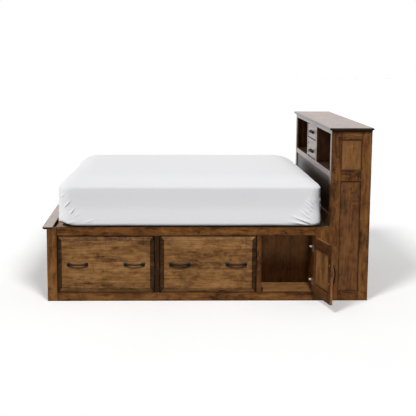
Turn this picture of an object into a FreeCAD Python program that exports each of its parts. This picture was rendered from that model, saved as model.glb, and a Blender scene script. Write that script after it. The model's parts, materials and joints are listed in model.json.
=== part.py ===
"""Captain's bed: storage platform with drawers and cupboards, and a bookcase headboard.

Frame: origin on the floor under the middle of the bed, +X from foot to head, +Z up,
the near long side faces -Y. All sizes are millimetres.
"""
import FreeCAD, Part
import math
import os
import re

SIZES = {
    # Overall size of the bed
    "bed_width": 1990,
    "base_length": 2157,
    "base_height": 576,
    "headboard_depth": 305,
    "headboard_height": 1334,
    # Face frames of the long sides
    "frame_thick": 20,
    "foot_stile": 76,
    "mid_stile": 38,
    "head_stile": 107,
    "top_rail": 66,
    "bottom_rail": 66,
    "cupboard_wide": 410,
    # Cases behind the face frames
    "case_depth": 640,
    "case_back": 12,
    "cupboard_depth": 336,
    "cupboard_floor": 12,
    "cupboard_back": 12,
    # Foot end
    "foot_cap_wide": 75,
    "foot_cap_thick": 16,
    "foot_cap_over": 32,
    "foot_cap_bevel": 9,
    "foot_cap_edge": 7,
    "foot_rail_low": 72,
    "foot_rail_high": 66,
    "foot_frame_stile": 62,
    "panel_thick": 8,
    "panel_recess": 8,
    # Deck and its supports
    "deck_thick": 12,
    "deck_drop": 6,
    "deck_start": 73,
    "deck_gap": 2,
    "cross_board": 20,
    "beam_wide": 40,
    "beam_high": 90,
    "leg_wide": 60,
    "leg_spacing": 700,
    # Large drawers
    "front_gap": 2.5,
    "front_lip": 9,
    "front_bevel": 32,
    "front_step": 2,
    "box_thick": 14,
    "box_headroom": 70,
    "box_lift": 34,
    "box_back_gap": 60,
    "box_floor": 6,
    "box_floor_lift": 10,
    # Drawer slides
    "slide_room": 13,
    "slide_short": 20,
    "slide_setback": 6,
    "slide_lift": 150,
    "channel_high": 45,
    "channel_deep": 11,
    "channel_wall": 2,
    "slide_clear": 0.3,
    # Arched pulls
    "pull_span": 136,
    "pull_foot": 28,
    "pull_foot_out": 15,
    "pull_bow": 14,
    "pull_bar_thick": 8,
    "pull_bar_high": 14,
    "pull_from_side": 155,
    "screw_radius": 2,
    "screw_head_radius": 4.5,
    "screw_head_thick": 2.5,
    # Cupboard doors
    "door_gap": 2.5,
    "door_stile": 57,
    "door_rail": 70,
    "door_panel_thick": 7,
    "door_panel_recess": 7,
    "door_open": 101,
    "hinge_out": 4,
    "hinge_from_end": 90,
    "leaf_high": 52,
    "leaf_thick": 1,
    "leaf_long": 48,
    "back_plate_wide": 42,
    "back_plate_thick": 1.5,
    "arm_long": 30,
    "arm_radius": 8,
    "arm_setback": 2.5,
    "arm_slant": 30,
    "barrel_radius": 3,
    "barrel_mid": 18,
    "barrel_clear": 0.3,
    "pin_radius": 1.3,
    "pin_clear": 0.05,
    # Magnetic catches
    "catch_wide": 15,
    "catch_high": 33,
    "catch_long": 34,
    "catch_clear": 0.5,
    # Headboard
    "end_stile": 75,
    "end_rail_low": 72,
    "end_rail_mid": 82,
    "end_rail_rise": 13,
    "end_panel_high": 234,
    "front_stile": 64,
    "front_top_rail": 21,
    "cubby_high": 286,
    "shelf_rail": 45,
    "front_bottom_rail": 225,
    "front_rail_rise": 89,
    "shelf_thick": 18,
    "headboard_back": 8,
    "column_wide": 526,
    "column_stile": 45,
    "column_rail": 38,
    "dust_panel": 12,
    "moulding_high": 13,
    "moulding_over": 12,
    "cap_thick": 16,
    "cap_over": 21,
    "cap_over_back": 8.6,
    "cap_ease": 5,
    # Small headboard drawers
    "small_gap": 2,
    "small_lip": 13,
    "small_bevel": 10,
    "small_step": 1,
    "small_box_thick": 10,
    "small_headroom": 19.7,
    "small_back_gap": 42,
    "small_box_side": 3,
    "small_box_floor": 5,
    "small_floor_lift": 6,
    "runner_high": 8,
    "runner_wide": 16,
    "runner_clear": 0.3,
    # Bolts between base and headboard
    "bolt_radius": 4,
    "bolt_head_radius": 9,
    "bolt_head_thick": 6,
    "bolt_spread": 620,
    "bolt_drop": 51,
    "bolt_apart": 55,
    # Mattress
    "mattress_side_gap": 30,
    "mattress_head_gap": 43,
    "mattress_side": 300,
    "mattress_crown": 77,
    "mattress_tuck": 30,
    "mattress_corner": 80,
    "mattress_from_foot": 82,
    "cut_overrun": 1,
}

# The mattress, from the deck up: rise as a share of its side, inset as a share of its tuck
SIDE_SHARES = ((0, 0.7), (0.05, 0.25), (0.15, 0), (0.5, 0.15), (0.8, 0.1), (0.95, 0.3), (1, 0.7))
# Its crowned top: rise as a share of the crown, inset as a share of half its lesser side
CROWN_SHARES = ((0.45, 0.07), (0.82, 0.15), (1, 0.3))
CORNER_GROWTH_SHARE = 0.3

NEAR = "near"
FAR = "far"
SIDES = (NEAR, FAR)
Z_AXIS = FreeCAD.Vector(0, 0, 1)
X_AXIS = FreeCAD.Vector(1, 0, 0)

# Turns that point a raised face, built along +Y, at each side
FACE_TURN = {
    NEAR: FreeCAD.Rotation(Z_AXIS, 180),
    FAR: FreeCAD.Rotation(Z_AXIS, 0),
    "foot": FreeCAD.Rotation(Z_AXIS, 90),
    "up": FreeCAD.Rotation(X_AXIS, 90),
}
# Turns that stand a pull upright on each side
UPRIGHT_TURN = {
    NEAR: FreeCAD.Rotation(Z_AXIS, FreeCAD.Vector(0, -1, 0), X_AXIS),
    FAR: FreeCAD.Rotation(Z_AXIS, FreeCAD.Vector(0, 1, 0), -X_AXIS),
}

# Headings of the hinge arms, from the stile's edge into each cupboard
ARM_SLANT = math.radians(SIZES["arm_slant"])
ARM_HEADING = {
    NEAR: FreeCAD.Vector(-math.cos(ARM_SLANT), math.sin(ARM_SLANT), 0),
    FAR: FreeCAD.Vector(-math.cos(ARM_SLANT), -math.sin(ARM_SLANT), 0),
}

# Main planes, as expressions of the driving sizes
X_FOOT = "(-(base_length + headboard_depth) / 2)"
X_HEAD = f"({X_FOOT} + base_length)"
X_BACK = f"({X_HEAD} + headboard_depth)"
HALF_WIDTH = "(bed_width / 2)"
INNER_HALF = "(bed_width / 2 - frame_thick)"
INNER_WIDTH = "(bed_width - 2 * frame_thick)"
DECK_TOP = "(base_height - deck_drop)"
DECK_BOTTOM = f"({DECK_TOP} - deck_thick)"
OPENING_HIGH = "(base_height - top_rail - bottom_rail)"
CASE_PANEL = "(mid_stile / 2)"
CUPBOARD_HIGH = f"({X_HEAD} - head_stile)"
CUPBOARD_LOW = f"({CUPBOARD_HIGH} - cupboard_wide)"
DRAWER_WIDE = "((base_length - foot_stile - 2 * mid_stile - cupboard_wide - head_stile) / 2)"
DRAWER_X = [f"({X_FOOT} + foot_stile + {bay} * ({DRAWER_WIDE} + mid_stile))" for bay in range(2)]
BOX_DEPTH = "(case_depth - frame_thick - box_back_gap)"
BOX_HIGH = f"({OPENING_HIGH} - box_lift - box_headroom)"
SLIDE_LONG = f"({BOX_DEPTH} - slide_short)"
DOOR_RIGHT = f"({CUPBOARD_HIGH} - door_gap)"
HINGE_X = f"({CUPBOARD_HIGH} - door_gap / 2)"
HINGE_CENTRES = (
    "(bottom_rail + door_gap + hinge_from_end)",
    "(base_height - top_rail - door_gap - hinge_from_end)",
)
CARCASS_TOP = "(headboard_height - cap_thick - moulding_high)"
CUBBY_TOP = f"({CARCASS_TOP} - front_top_rail)"
CUBBY_FLOOR = f"({CUBBY_TOP} - cubby_high)"
SMALL_HIGH = "((cubby_high - column_rail) / 2)"
SMALL_WIDE = "(column_wide - 2 * column_stile)"
SMALL_BOX_HIGH = f"({SMALL_HIGH} - runner_high - runner_clear - small_headroom)"
SMALL_BOX_DEPTH = "(headboard_depth - frame_thick - headboard_back - small_back_gap)"
MATTRESS_LONG = "(base_length - mattress_from_foot - mattress_head_gap)"

WORD = re.compile(r"[a-z_]+")
doc = FreeCAD.newDocument("captains_bed")
sheet = doc.addObject("Spreadsheet::Sheet", "sizes")
nodes = []


def fill_sheet():
    """Write each driving size into its own cell, with its name as the alias."""
    for row, (name, value) in enumerate(SIZES.items(), start=1):
        sheet.set(f"A{row}", name)
        sheet.set(f"B{row}", str(value))
        sheet.setAlias(f"B{row}", name)
    doc.recompute()


def bind(item, **expressions):
    """Bind properties to expressions, with each size name pointed at its cell."""
    for prop, text in expressions.items():
        cells = WORD.sub(lambda word: f"sizes.{word[0]}" if word[0] in SIZES else word[0], text)
        item.setExpression(prop.replace("__", "."), cells)
    return item


def place(item, x, y, z):
    """Bind the position of an object."""
    return bind(item, Placement__Base__x=x, Placement__Base__y=y, Placement__Base__z=z)


def board(x, y, z, long, wide, high):
    """A straight board from its lowest corner and its lengths along X, Y and Z."""
    box = doc.addObject("Part::Box", "board")
    bind(box, Length=long, Width=wide, Height=high)
    return place(box, x, y, z)


def side_board(side, x, inset, z, long, wide, high):
    """A board set in from the outer face of one long side."""
    y = f"-{HALF_WIDTH} + {inset}" if side == NEAR else f"{HALF_WIDTH} - ({inset}) - ({wide})"
    return board(x, y, z, long, wide, high)


def both_sides(x, inset, z, long, wide, high):
    """The same board on the near and on the far side."""
    return [side_board(side, x, inset, z, long, wide, high) for side in SIDES]


def cross_board(x, z, long, high):
    """A board that runs across the bed between the two face frames."""
    return board(x, f"-{INNER_HALF}", z, long, INNER_WIDTH, high)


def rod(radius, length, turn, x, y, z):
    """A round bar whose axis, +Z at first, is turned and then placed by its start."""
    bar = doc.addObject("Part::Cylinder", "rod")
    bar.Placement.Rotation = turn
    bind(bar, Radius=radius, Height=length)
    return place(bar, x, y, z)


def fused(pieces):
    """One solid from pieces that meet."""
    joined = doc.addObject("Part::MultiFuse", "fused")
    joined.Shapes = pieces
    joined.Refine = True
    return joined


def cut(base, tool):
    """The base with the tool taken away."""
    rest = doc.addObject("Part::Cut", "cut")
    rest.Base = base
    rest.Tool = tool
    return rest


def taper(facing, low, high, start, end, margin):
    """A block whose far face is smaller by the same margin on each edge.

    low and high are corner expressions in the face's own plane, (across, up), and
    the block runs along the facing direction from start to end.
    """
    wedge = doc.addObject("Part::Wedge", "taper")
    wedge.Placement.Rotation = FACE_TURN[facing]
    bind(wedge, Xmin=low[0], Xmax=high[0], Zmin=low[1], Zmax=high[1], Ymin=start, Ymax=end)
    bind(wedge, X2min=f"{low[0]} + {margin}", X2max=f"{high[0]} - {margin}")
    return bind(wedge, Z2min=f"{low[1]} + {margin}", Z2max=f"{high[1]} - {margin}")


def node(label, pieces):
    """One named sub-part, from one object or from a group of separate solids."""
    if len(pieces) == 1:
        group = pieces[0]
    else:
        group = doc.addObject("Part::Compound", label)
        group.Links = pieces
    group.Label = label
    nodes.append(group)
    return group


def raised_front(facing, across, up, wide, high, start, sizes):
    """An inset front: flat lip, bevel on all four edges, small step, raised field."""
    lip, bevel, step, thick = sizes
    low, top = (across, up), (f"{across} + {wide}", f"{up} + {high}")
    field_low = (f"{across} + {bevel}", f"{up} + {bevel}")
    field_top = (f"{across} + {wide} - {bevel}", f"{up} + {high} - {bevel}")
    bevel_end = f"{start} + {thick} - {step}"
    pieces = [
        taper(facing, low, top, start, f"{start} + {lip}", "0"),
        taper(facing, low, top, f"{start} + {lip}", bevel_end, bevel),
        taper(facing, field_low, field_top, bevel_end, f"{start} + {thick}", "0"),
    ]
    return fused(pieces)


def pull(turn, x, y, z):
    """An arched pull: two square feet and a bowed bar. Local X runs along it, Y points out."""
    radius = "(pull_span ^ 2 / (8 * pull_bow) + pull_bow / 2)"
    half_angle = f"asin(pull_span / (2 * {radius}))"
    centre_out = f"(pull_foot_out - pull_bar_thick / 2 + pull_bow - {radius})"
    outer = doc.addObject("Part::Cylinder", "bar_outer")
    bind(outer, Radius=f"{radius} + pull_bar_thick / 2", Height="pull_bar_high", Angle=f"2 * {half_angle}")
    bind(outer, Placement__Rotation__Angle=f"90 deg - {half_angle}")
    place(outer, "0", centre_out, "-pull_bar_high / 2")
    inner = doc.addObject("Part::Cylinder", "bar_inner")
    bind(inner, Radius=f"{radius} - pull_bar_thick / 2", Height="pull_bar_high + 2 * cut_overrun")
    place(inner, "0", centre_out, "-pull_bar_high / 2 - cut_overrun")
    feet = []
    for sign in ("-", ""):
        start = f"{sign}pull_span / 2 - pull_foot / 2"
        feet.append(board(start, "0", "-pull_foot / 2", "pull_foot", "pull_foot_out", "pull_foot"))
    casting = fused([cut(outer, inner)] + feet)
    casting.Placement.Rotation = turn
    return place(casting, x, y, z)


def screw(turn, length, x, y, z):
    """A pan-head screw whose head starts at a point and whose shank runs on along the turned Z."""
    head = rod("screw_head_radius", "screw_head_thick", FreeCAD.Rotation(), "0", "0", "-screw_head_thick")
    shank = rod("screw_radius", length, FreeCAD.Rotation(), "0", "0", "0")
    whole = fused([head, shank])
    whole.Placement.Rotation = turn
    return place(whole, x, y, z)


def outward(side, distance):
    """The Y of a plane that stands a distance outside a long side."""
    return f"-{HALF_WIDTH} - ({distance})" if side == NEAR else f"{HALF_WIDTH} + {distance}"


def outward_turn(side):
    """The turn that points a rod's +Z straight out of a long side."""
    return FreeCAD.Rotation(X_AXIS, 90 if side == NEAR else -90)


def face_frames():
    """Rails and stiles of the two long sides."""
    rail_x = f"{X_FOOT} + foot_stile"
    rail_long = "base_length - foot_stile - head_stile"
    upper = "base_height - top_rail"
    node("side_top_rails", both_sides(rail_x, "0", upper, rail_long, "frame_thick", "top_rail"))
    node("side_bottom_rails", both_sides(rail_x, "0", "0", rail_long, "frame_thick", "bottom_rail"))
    corners = []
    for side in SIDES:
        stile = side_board(side, X_FOOT, "0", "0", "foot_stile", "frame_thick", "base_height")
        notch_x = f"{X_FOOT} - cut_overrun"
        notch_long = "foot_cap_wide - foot_cap_over + cut_overrun"
        notch_wide = "frame_thick + 2 * cut_overrun"
        notch = side_board(side, notch_x, "-cut_overrun", "base_height - foot_cap_thick", notch_long,
                           notch_wide, "foot_cap_thick + cut_overrun")
        corners.append(cut(stile, notch))
    node("foot_corner_stiles", corners)
    stiles = []
    for start in DRAWER_X:
        stiles += both_sides(f"{start} + {DRAWER_WIDE}", "0", "bottom_rail", "mid_stile", "frame_thick",
                             OPENING_HIGH)
    node("mid_stiles", stiles)
    node("head_stiles", both_sides(CUPBOARD_HIGH, "0", "0", "head_stile", "frame_thick", "base_height"))


def cases():
    """Panels that divide and close the space behind the face frames."""
    edges = []
    for start in DRAWER_X:
        edges += [f"{start} - {CASE_PANEL}", f"{start} + {DRAWER_WIDE}"]
    edges += [f"{CUPBOARD_LOW} - {CASE_PANEL}", CUPBOARD_HIGH]
    panels = []
    for x in edges:
        panels += both_sides(x, "frame_thick", "0", CASE_PANEL, "case_depth - frame_thick", DECK_BOTTOM)
    node("case_sides", panels)
    back_x = f"{X_FOOT} + foot_stile - {CASE_PANEL}"
    back_long = f"base_length - foot_stile + {CASE_PANEL} - cross_board"
    node("case_backs", both_sides(back_x, "case_depth", "0", back_long, "case_back", DECK_BOTTOM))
    floor_z = "bottom_rail - cupboard_floor"
    floor_deep = "cupboard_depth + cupboard_back - frame_thick"
    node("cupboard_floors", both_sides(CUPBOARD_LOW, "frame_thick", floor_z, "cupboard_wide", floor_deep,
                                       "cupboard_floor"))
    node("cupboard_backs", both_sides(CUPBOARD_LOW, "cupboard_depth", "bottom_rail", "cupboard_wide",
                                      "cupboard_back", f"{DECK_BOTTOM} - bottom_rail"))


def drawer_channels():
    """Fixed slide channels, one on each side wall of each large drawer bay."""
    channels = []
    z = "bottom_rail + slide_lift - channel_high / 2"
    groove_z = "bottom_rail + slide_lift - channel_high / 2 + channel_wall"
    groove_high = "channel_high - 2 * channel_wall"
    inset = "frame_thick + slide_setback"
    for start in DRAWER_X:
        left, right = start, f"{start} + {DRAWER_WIDE} - channel_deep"
        grooves = (f"{left} + channel_wall", f"{right} - cut_overrun")
        groove_long = "channel_deep - channel_wall + cut_overrun"
        for x, groove_x in zip((left, right), grooves):
            for side in SIDES:
                bar = side_board(side, x, inset, z, "channel_deep", SLIDE_LONG, "channel_high")
                groove = side_board(side, groove_x, f"{inset} - cut_overrun", groove_z, groove_long,
                                    f"{SLIDE_LONG} + 2 * cut_overrun", groove_high)
                channels.append(cut(bar, groove))
    node("drawer_channels", channels)


def foot_end():
    """Frame, recessed panels and bevelled cap of the foot end."""
    top = "(base_height - foot_cap_thick)"
    high = f"({top} - foot_rail_low - foot_rail_high)"
    pieces = [
        cross_board(X_FOOT, "0", "frame_thick", "foot_rail_low"),
        cross_board(X_FOOT, f"{top} - foot_rail_high", "frame_thick", "foot_rail_high"),
    ]
    count = 3
    pitch = f"(({INNER_WIDTH} - foot_frame_stile) / {count})"
    for index in range(count + 1):
        y = f"-{INNER_HALF} + {index} * {pitch}"
        pieces.append(board(X_FOOT, y, "foot_rail_low", "frame_thick", "foot_frame_stile", high))
    node("foot_frame", pieces)
    panels = []
    for index in range(count):
        y = f"-{INNER_HALF} + {index} * {pitch} + foot_frame_stile"
        panels.append(board(f"{X_FOOT} + panel_recess", y, "foot_rail_low", "panel_thick",
                            f"{pitch} - foot_frame_stile", high))
    node("foot_panels", panels)
    cap_x = f"({X_FOOT} - foot_cap_over)"
    edge_z = "(base_height - foot_cap_edge)"
    edge = board(cap_x, f"-{HALF_WIDTH}", edge_z, "foot_cap_wide", "bed_width", "foot_cap_edge")
    slope = doc.addObject("Part::Wedge", "cap_bevel")
    slope.Placement.Rotation = FACE_TURN["up"]
    bind(slope, Xmin=f"{cap_x} + foot_cap_bevel", Xmax=f"{cap_x} + foot_cap_wide", X2min=cap_x)
    bind(slope, X2max=f"{cap_x} + foot_cap_wide", Ymin="base_height - foot_cap_thick", Ymax=edge_z)
    bind(slope, Zmin=f"-{HALF_WIDTH}", Zmax=HALF_WIDTH, Z2min=f"-{HALF_WIDTH}", Z2max=HALF_WIDTH)
    node("foot_cap", [fused([slope, edge])])


def deck():
    """Plywood deck on its cross board, centre beam and legs."""
    node("head_cross_board", [cross_board(f"{X_HEAD} - cross_board", "0", "cross_board", DECK_BOTTOM)])
    beam_x = f"{X_FOOT} + frame_thick"
    beam_long = "base_length - frame_thick - cross_board"
    beam_z = f"{DECK_BOTTOM} - beam_high"
    pieces = [board(beam_x, "-beam_wide / 2", beam_z, beam_long, "beam_wide", "beam_high")]
    for step in (-1, 0, 1):
        x = f"{step} * leg_spacing - leg_wide / 2"
        pieces.append(board(x, "-leg_wide / 2", "0", "leg_wide", "leg_wide", beam_z))
    node("centre_support", pieces)
    count = 3
    pitch = f"((base_length - deck_start) / {count})"
    sheets = []
    for index in range(count):
        x = f"{X_FOOT} + deck_start + {index} * {pitch}"
        sheets.append(board(x, f"-{INNER_HALF} + deck_gap", DECK_BOTTOM, f"{pitch} - deck_gap",
                            f"{INNER_WIDTH} - 2 * deck_gap", "deck_thick"))
    node("deck_panels", sheets)


def large_drawer(side, bay):
    """One large drawer: raised front, box, two pulls with screws and two slide members."""
    name = f"{side}_{('foot', 'head')[bay]}_drawer"
    start = DRAWER_X[bay]
    wide = f"({DRAWER_WIDE} - 2 * front_gap)"
    high = f"({OPENING_HIGH} - 2 * front_gap)"
    across = f"({start} + front_gap)" if side == FAR else f"(-({start}) - {DRAWER_WIDE} + front_gap)"
    up = "(bottom_rail + front_gap)"
    back_plane = f"({HALF_WIDTH} - frame_thick)"
    shape = ("front_lip", "front_bevel", "front_step", "frame_thick")
    node(f"{name}_front", [raised_front(side, across, up, wide, high, back_plane, shape)])

    box_x = f"({start} + slide_room)"
    box_wide = f"({DRAWER_WIDE} - 2 * slide_room)"
    box_z = "(bottom_rail + box_lift)"
    wall = f"({BOX_DEPTH} - 2 * box_thick)"
    inner_x, inner_wide = f"({box_x} + box_thick)", f"({box_wide} - 2 * box_thick)"
    inner_y = "frame_thick + box_thick"
    boards = [
        (box_x, "frame_thick", box_z, box_wide, "box_thick", BOX_HIGH),
        (box_x, f"{inner_y} + {wall}", box_z, box_wide, "box_thick", BOX_HIGH),
        (box_x, inner_y, box_z, "box_thick", wall, BOX_HIGH),
        (f"{inner_x} + {inner_wide}", inner_y, box_z, "box_thick", wall, BOX_HIGH),
        (inner_x, inner_y, f"{box_z} + box_floor_lift", inner_wide, wall, "box_floor"),
    ]
    node(f"{name}_box", [side_board(side, *sizes) for sizes in boards])

    handles = []
    middle = f"bottom_rail + {OPENING_HIGH} / 2"
    for centre in (f"{start} + pull_from_side", f"{start} + {DRAWER_WIDE} - pull_from_side"):
        handles.append(pull(FACE_TURN[side], centre, outward(side, "0"), middle))
        for sign in ("-", "+"):
            x = f"{centre} {sign} pull_span / 2"
            inside = outward(side, "-frame_thick - box_thick")
            handles.append(screw(outward_turn(side), "frame_thick + box_thick", x, inside, middle))
    node(f"{name}_pulls", handles)

    rail_long = "slide_room - channel_wall - slide_clear"
    rail_z = "bottom_rail + slide_lift - channel_high / 2 + channel_wall + slide_clear"
    rail_high = "channel_high - 2 * channel_wall - 2 * slide_clear"
    rails = []
    for x in (f"{start} + channel_wall + slide_clear", f"{start} + {DRAWER_WIDE} - slide_room"):
        rails.append(side_board(side, x, "frame_thick + slide_setback", rail_z, rail_long, SLIDE_LONG,
                                rail_high))
    node(f"{name}_slides", rails)


def door(side):
    """One cupboard door, built closed; the near one is then swung open about its hinge axis."""
    name = f"{side}_door"
    x = f"({CUPBOARD_LOW} + door_gap)"
    wide = "(cupboard_wide - 2 * door_gap)"
    z = "(bottom_rail + door_gap)"
    high = f"({OPENING_HIGH} - 2 * door_gap)"
    rail_x, rail_long = f"{x} + door_stile", f"({wide} - 2 * door_stile)"
    frame = [
        (x, "0", z, "door_stile", "frame_thick", high),
        (f"{DOOR_RIGHT} - door_stile", "0", z, "door_stile", "frame_thick", high),
        (rail_x, "0", z, rail_long, "frame_thick", "door_rail"),
        (rail_x, "0", f"{z} + {high} - door_rail", rail_long, "frame_thick", "door_rail"),
    ]
    panel = (rail_x, "door_panel_recess", f"{z} + door_rail", rail_long, "door_panel_thick",
             f"{high} - 2 * door_rail")
    middle = f"{z} + {high} / 2"
    pull_x = f"{x} + door_stile / 2"
    handle = [pull(UPRIGHT_TURN[side], pull_x, outward(side, "0"), middle)]
    for sign in ("-", "+"):
        inside = outward(side, "-frame_thick")
        screw_z = f"{middle} {sign} pull_span / 2"
        handle.append(screw(outward_turn(side), "frame_thick", pull_x, inside, screw_z))
    groups = {
        f"{name}_frame": [side_board(side, *sizes) for sizes in frame],
        f"{name}_panel": [side_board(side, *panel)],
        f"{name}_pull": handle,
        f"{name}_hinges": [door_hinge(side, centre) for centre in HINGE_CENTRES],
    }
    for label, pieces in groups.items():
        if side == FAR:
            node(label, pieces)
            continue
        leaf = doc.addObject("Part::Compound", label)
        leaf.Links = pieces
        swing(leaf)
        node(label, [leaf])


def swing(leaf):
    """Turn a group of the near door about its hinge axis, from closed to the rest opening."""
    hinge_y = f"({outward(NEAR, 'hinge_out')})"
    turn = "(door_open * 1 deg)"
    bind(leaf, Placement__Rotation__Angle=turn)
    x = f"{HINGE_X} - {HINGE_X} * cos({turn}) + {hinge_y} * sin({turn})"
    y = f"{hinge_y} - {HINGE_X} * sin({turn}) - {hinge_y} * cos({turn})"
    place(leaf, x, y, "0")


def hinge_rod(side, radius, high, z):
    """An upright rod on the hinge axis of a door."""
    return rod(radius, high, FreeCAD.Rotation(), HINGE_X, outward(side, "hinge_out"), z)


def door_hinge(side, centre):
    """The door's half of a hinge: edge leaf wrapped onto the door's back, and the middle barrel."""
    low, barrel_low = f"{centre} - leaf_high / 2", f"{centre} - barrel_mid / 2"
    pieces = [
        side_board(side, DOOR_RIGHT, "0", low, "leaf_thick", "frame_thick", "leaf_high"),
        side_board(side, f"{DOOR_RIGHT} - back_plate_wide", "frame_thick", low,
                   "back_plate_wide + leaf_thick", "back_plate_thick", "leaf_high"),
        side_board(side, DOOR_RIGHT, "-hinge_out", barrel_low, "leaf_thick", "hinge_out", "barrel_mid"),
        hinge_rod(side, "barrel_radius", "barrel_mid", barrel_low),
    ]
    bore = hinge_rod(side, "pin_radius + pin_clear", "barrel_mid + 2 * cut_overrun",
                     f"{barrel_low} - cut_overrun")
    return cut(fused(pieces), bore)


def hinge_arm(side, leaf_x, centre):
    """A round arm that slants from the leaf into the cupboard, and its rounded end."""
    slant = "(arm_slant * 1 deg)"
    start_x = f"({leaf_x} + leaf_thick / 2 - arm_radius * sin{slant})"
    start_in = f"(frame_thick + arm_setback + arm_radius * cos{slant})"
    bar = doc.addObject("Part::Cylinder", "arm")
    bar.Placement.Rotation = FreeCAD.Rotation(Z_AXIS, ARM_HEADING[side])
    bind(bar, Radius="arm_radius", Height="arm_long")
    place(bar, start_x, outward(side, f"-{start_in}"), centre)
    end = doc.addObject("Part::Sphere", "arm_end")
    bind(end, Radius="arm_radius")
    end_in = f"{start_in} - arm_long * sin{slant}"
    place(end, f"{start_x} - arm_long * cos{slant}", outward(side, f"-{end_in}"), centre)
    return [bar, end]


def frame_hinge(side, centre):
    """The frame's half of a hinge: leaf on the stile's edge, arm behind the door, end barrels and pin."""
    low = f"{centre} - leaf_high / 2"
    leaf_x = f"{CUPBOARD_HIGH} - leaf_thick"
    end_high = "(leaf_high / 2 - barrel_mid / 2 - barrel_clear)"
    pieces = [
        side_board(side, leaf_x, "0", low, "leaf_thick", "leaf_long", "leaf_high"),
        hinge_rod(side, "pin_radius", "leaf_high", low),
    ] + hinge_arm(side, leaf_x, centre)
    for z in (low, f"{centre} + barrel_mid / 2 + barrel_clear"):
        pieces.append(side_board(side, leaf_x, "-hinge_out", z, "leaf_thick", "hinge_out", end_high))
        pieces.append(hinge_rod(side, "barrel_radius", end_high, z))
    return fused(pieces)


def cupboard_hardware():
    """Frame halves of the hinges, and magnetic catches on the cupboard floors."""
    node("hinge_plates", [frame_hinge(side, centre) for side in SIDES for centre in HINGE_CENTRES])
    node("magnetic_catches", both_sides(CUPBOARD_LOW, "frame_thick + catch_clear", "bottom_rail",
                                        "catch_wide", "catch_long", "catch_high"))


def headboard_carcass():
    """End frames with panels, front frame, lower panel, back, shelf and capped top."""
    inner_long = "(headboard_depth - 2 * end_stile)"
    panel_x = f"{X_HEAD} + end_stile"
    frames, panels = [], []
    upper_z = f"({CUBBY_FLOOR} + end_rail_rise)"
    mid_z = f"({upper_z} - end_rail_mid)"
    top_z = f"({upper_z} + end_panel_high)"
    for stile_x in (X_HEAD, f"{X_BACK} - end_stile"):
        frames += both_sides(stile_x, "0", "0", "end_stile", "frame_thick", CARCASS_TOP)
    rails = (("0", "end_rail_low"), (mid_z, "end_rail_mid"), (top_z, f"{CARCASS_TOP} - {top_z}"))
    for z, high in rails:
        frames += both_sides(panel_x, "0", z, inner_long, "frame_thick", high)
    node("headboard_end_frames", frames)
    for z, high in (("end_rail_low", f"{mid_z} - end_rail_low"), (upper_z, "end_panel_high")):
        panels += both_sides(panel_x, "panel_recess", z, inner_long, "panel_thick", high)
    node("headboard_end_panels", panels)

    stile_wide = "(front_stile - frame_thick)"
    rail_y = f"-{INNER_HALF} + {stile_wide}"
    rail_wide = f"{INNER_WIDTH} - 2 * {stile_wide}"
    shelf_rail_z = f"({CUBBY_FLOOR} - shelf_rail)"
    panel_z = "(base_height + front_rail_rise)"
    front = both_sides(X_HEAD, "frame_thick", "0", "frame_thick", stile_wide, CARCASS_TOP)
    spans = (
        (CUBBY_TOP, "front_top_rail"),
        (shelf_rail_z, "shelf_rail"),
        (f"{panel_z} - front_bottom_rail", "front_bottom_rail"),
    )
    for z, high in spans:
        front.append(board(X_HEAD, rail_y, z, "frame_thick", rail_wide, high))
    node("headboard_front_frame", front)
    node("headboard_front_panel", [board(f"{X_HEAD} + panel_recess", rail_y, panel_z, "panel_thick",
                                         rail_wide, f"{shelf_rail_z} - {panel_z}")])
    node("headboard_back", [cross_board(f"{X_BACK} - headboard_back", "0", "headboard_back", CARCASS_TOP)])
    shelf_long = "headboard_depth - frame_thick - headboard_back"
    shelf_z = f"{CUBBY_FLOOR} - shelf_thick"
    node("headboard_shelf", [cross_board(f"{X_HEAD} + frame_thick", shelf_z, shelf_long, "shelf_thick")])
    slab_low = (f"({X_HEAD} - moulding_over)", f"(-{HALF_WIDTH} - moulding_over)")
    slab_high = (X_BACK, f"({HALF_WIDTH} + moulding_over)")
    slab = doc.addObject("Part::Wedge", "cove")
    slab.Placement.Rotation = FACE_TURN["up"]
    bind(slab, Xmin=X_HEAD, Xmax=X_BACK, Zmin=f"-{HALF_WIDTH}", Zmax=HALF_WIDTH)
    bind(slab, X2min=slab_low[0], X2max=slab_high[0], Z2min=slab_low[1], Z2max=slab_high[1])
    bind(slab, Ymin=CARCASS_TOP, Ymax=f"{CARCASS_TOP} + moulding_high")
    node("cap_moulding", [slab])
    cap_low = (f"({X_HEAD} - cap_over)", f"(-{HALF_WIDTH} - cap_over)")
    cap_high = (f"({X_BACK} + cap_over_back)", f"({HALF_WIDTH} + cap_over)")
    cap_z = f"{CARCASS_TOP} + moulding_high"
    ease_z = "headboard_height - cap_ease"
    node("headboard_cap", [fused([
        taper("up", cap_low, cap_high, cap_z, ease_z, "0"),
        taper("up", cap_low, cap_high, ease_z, "headboard_height", "cap_ease"),
    ])])


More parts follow.
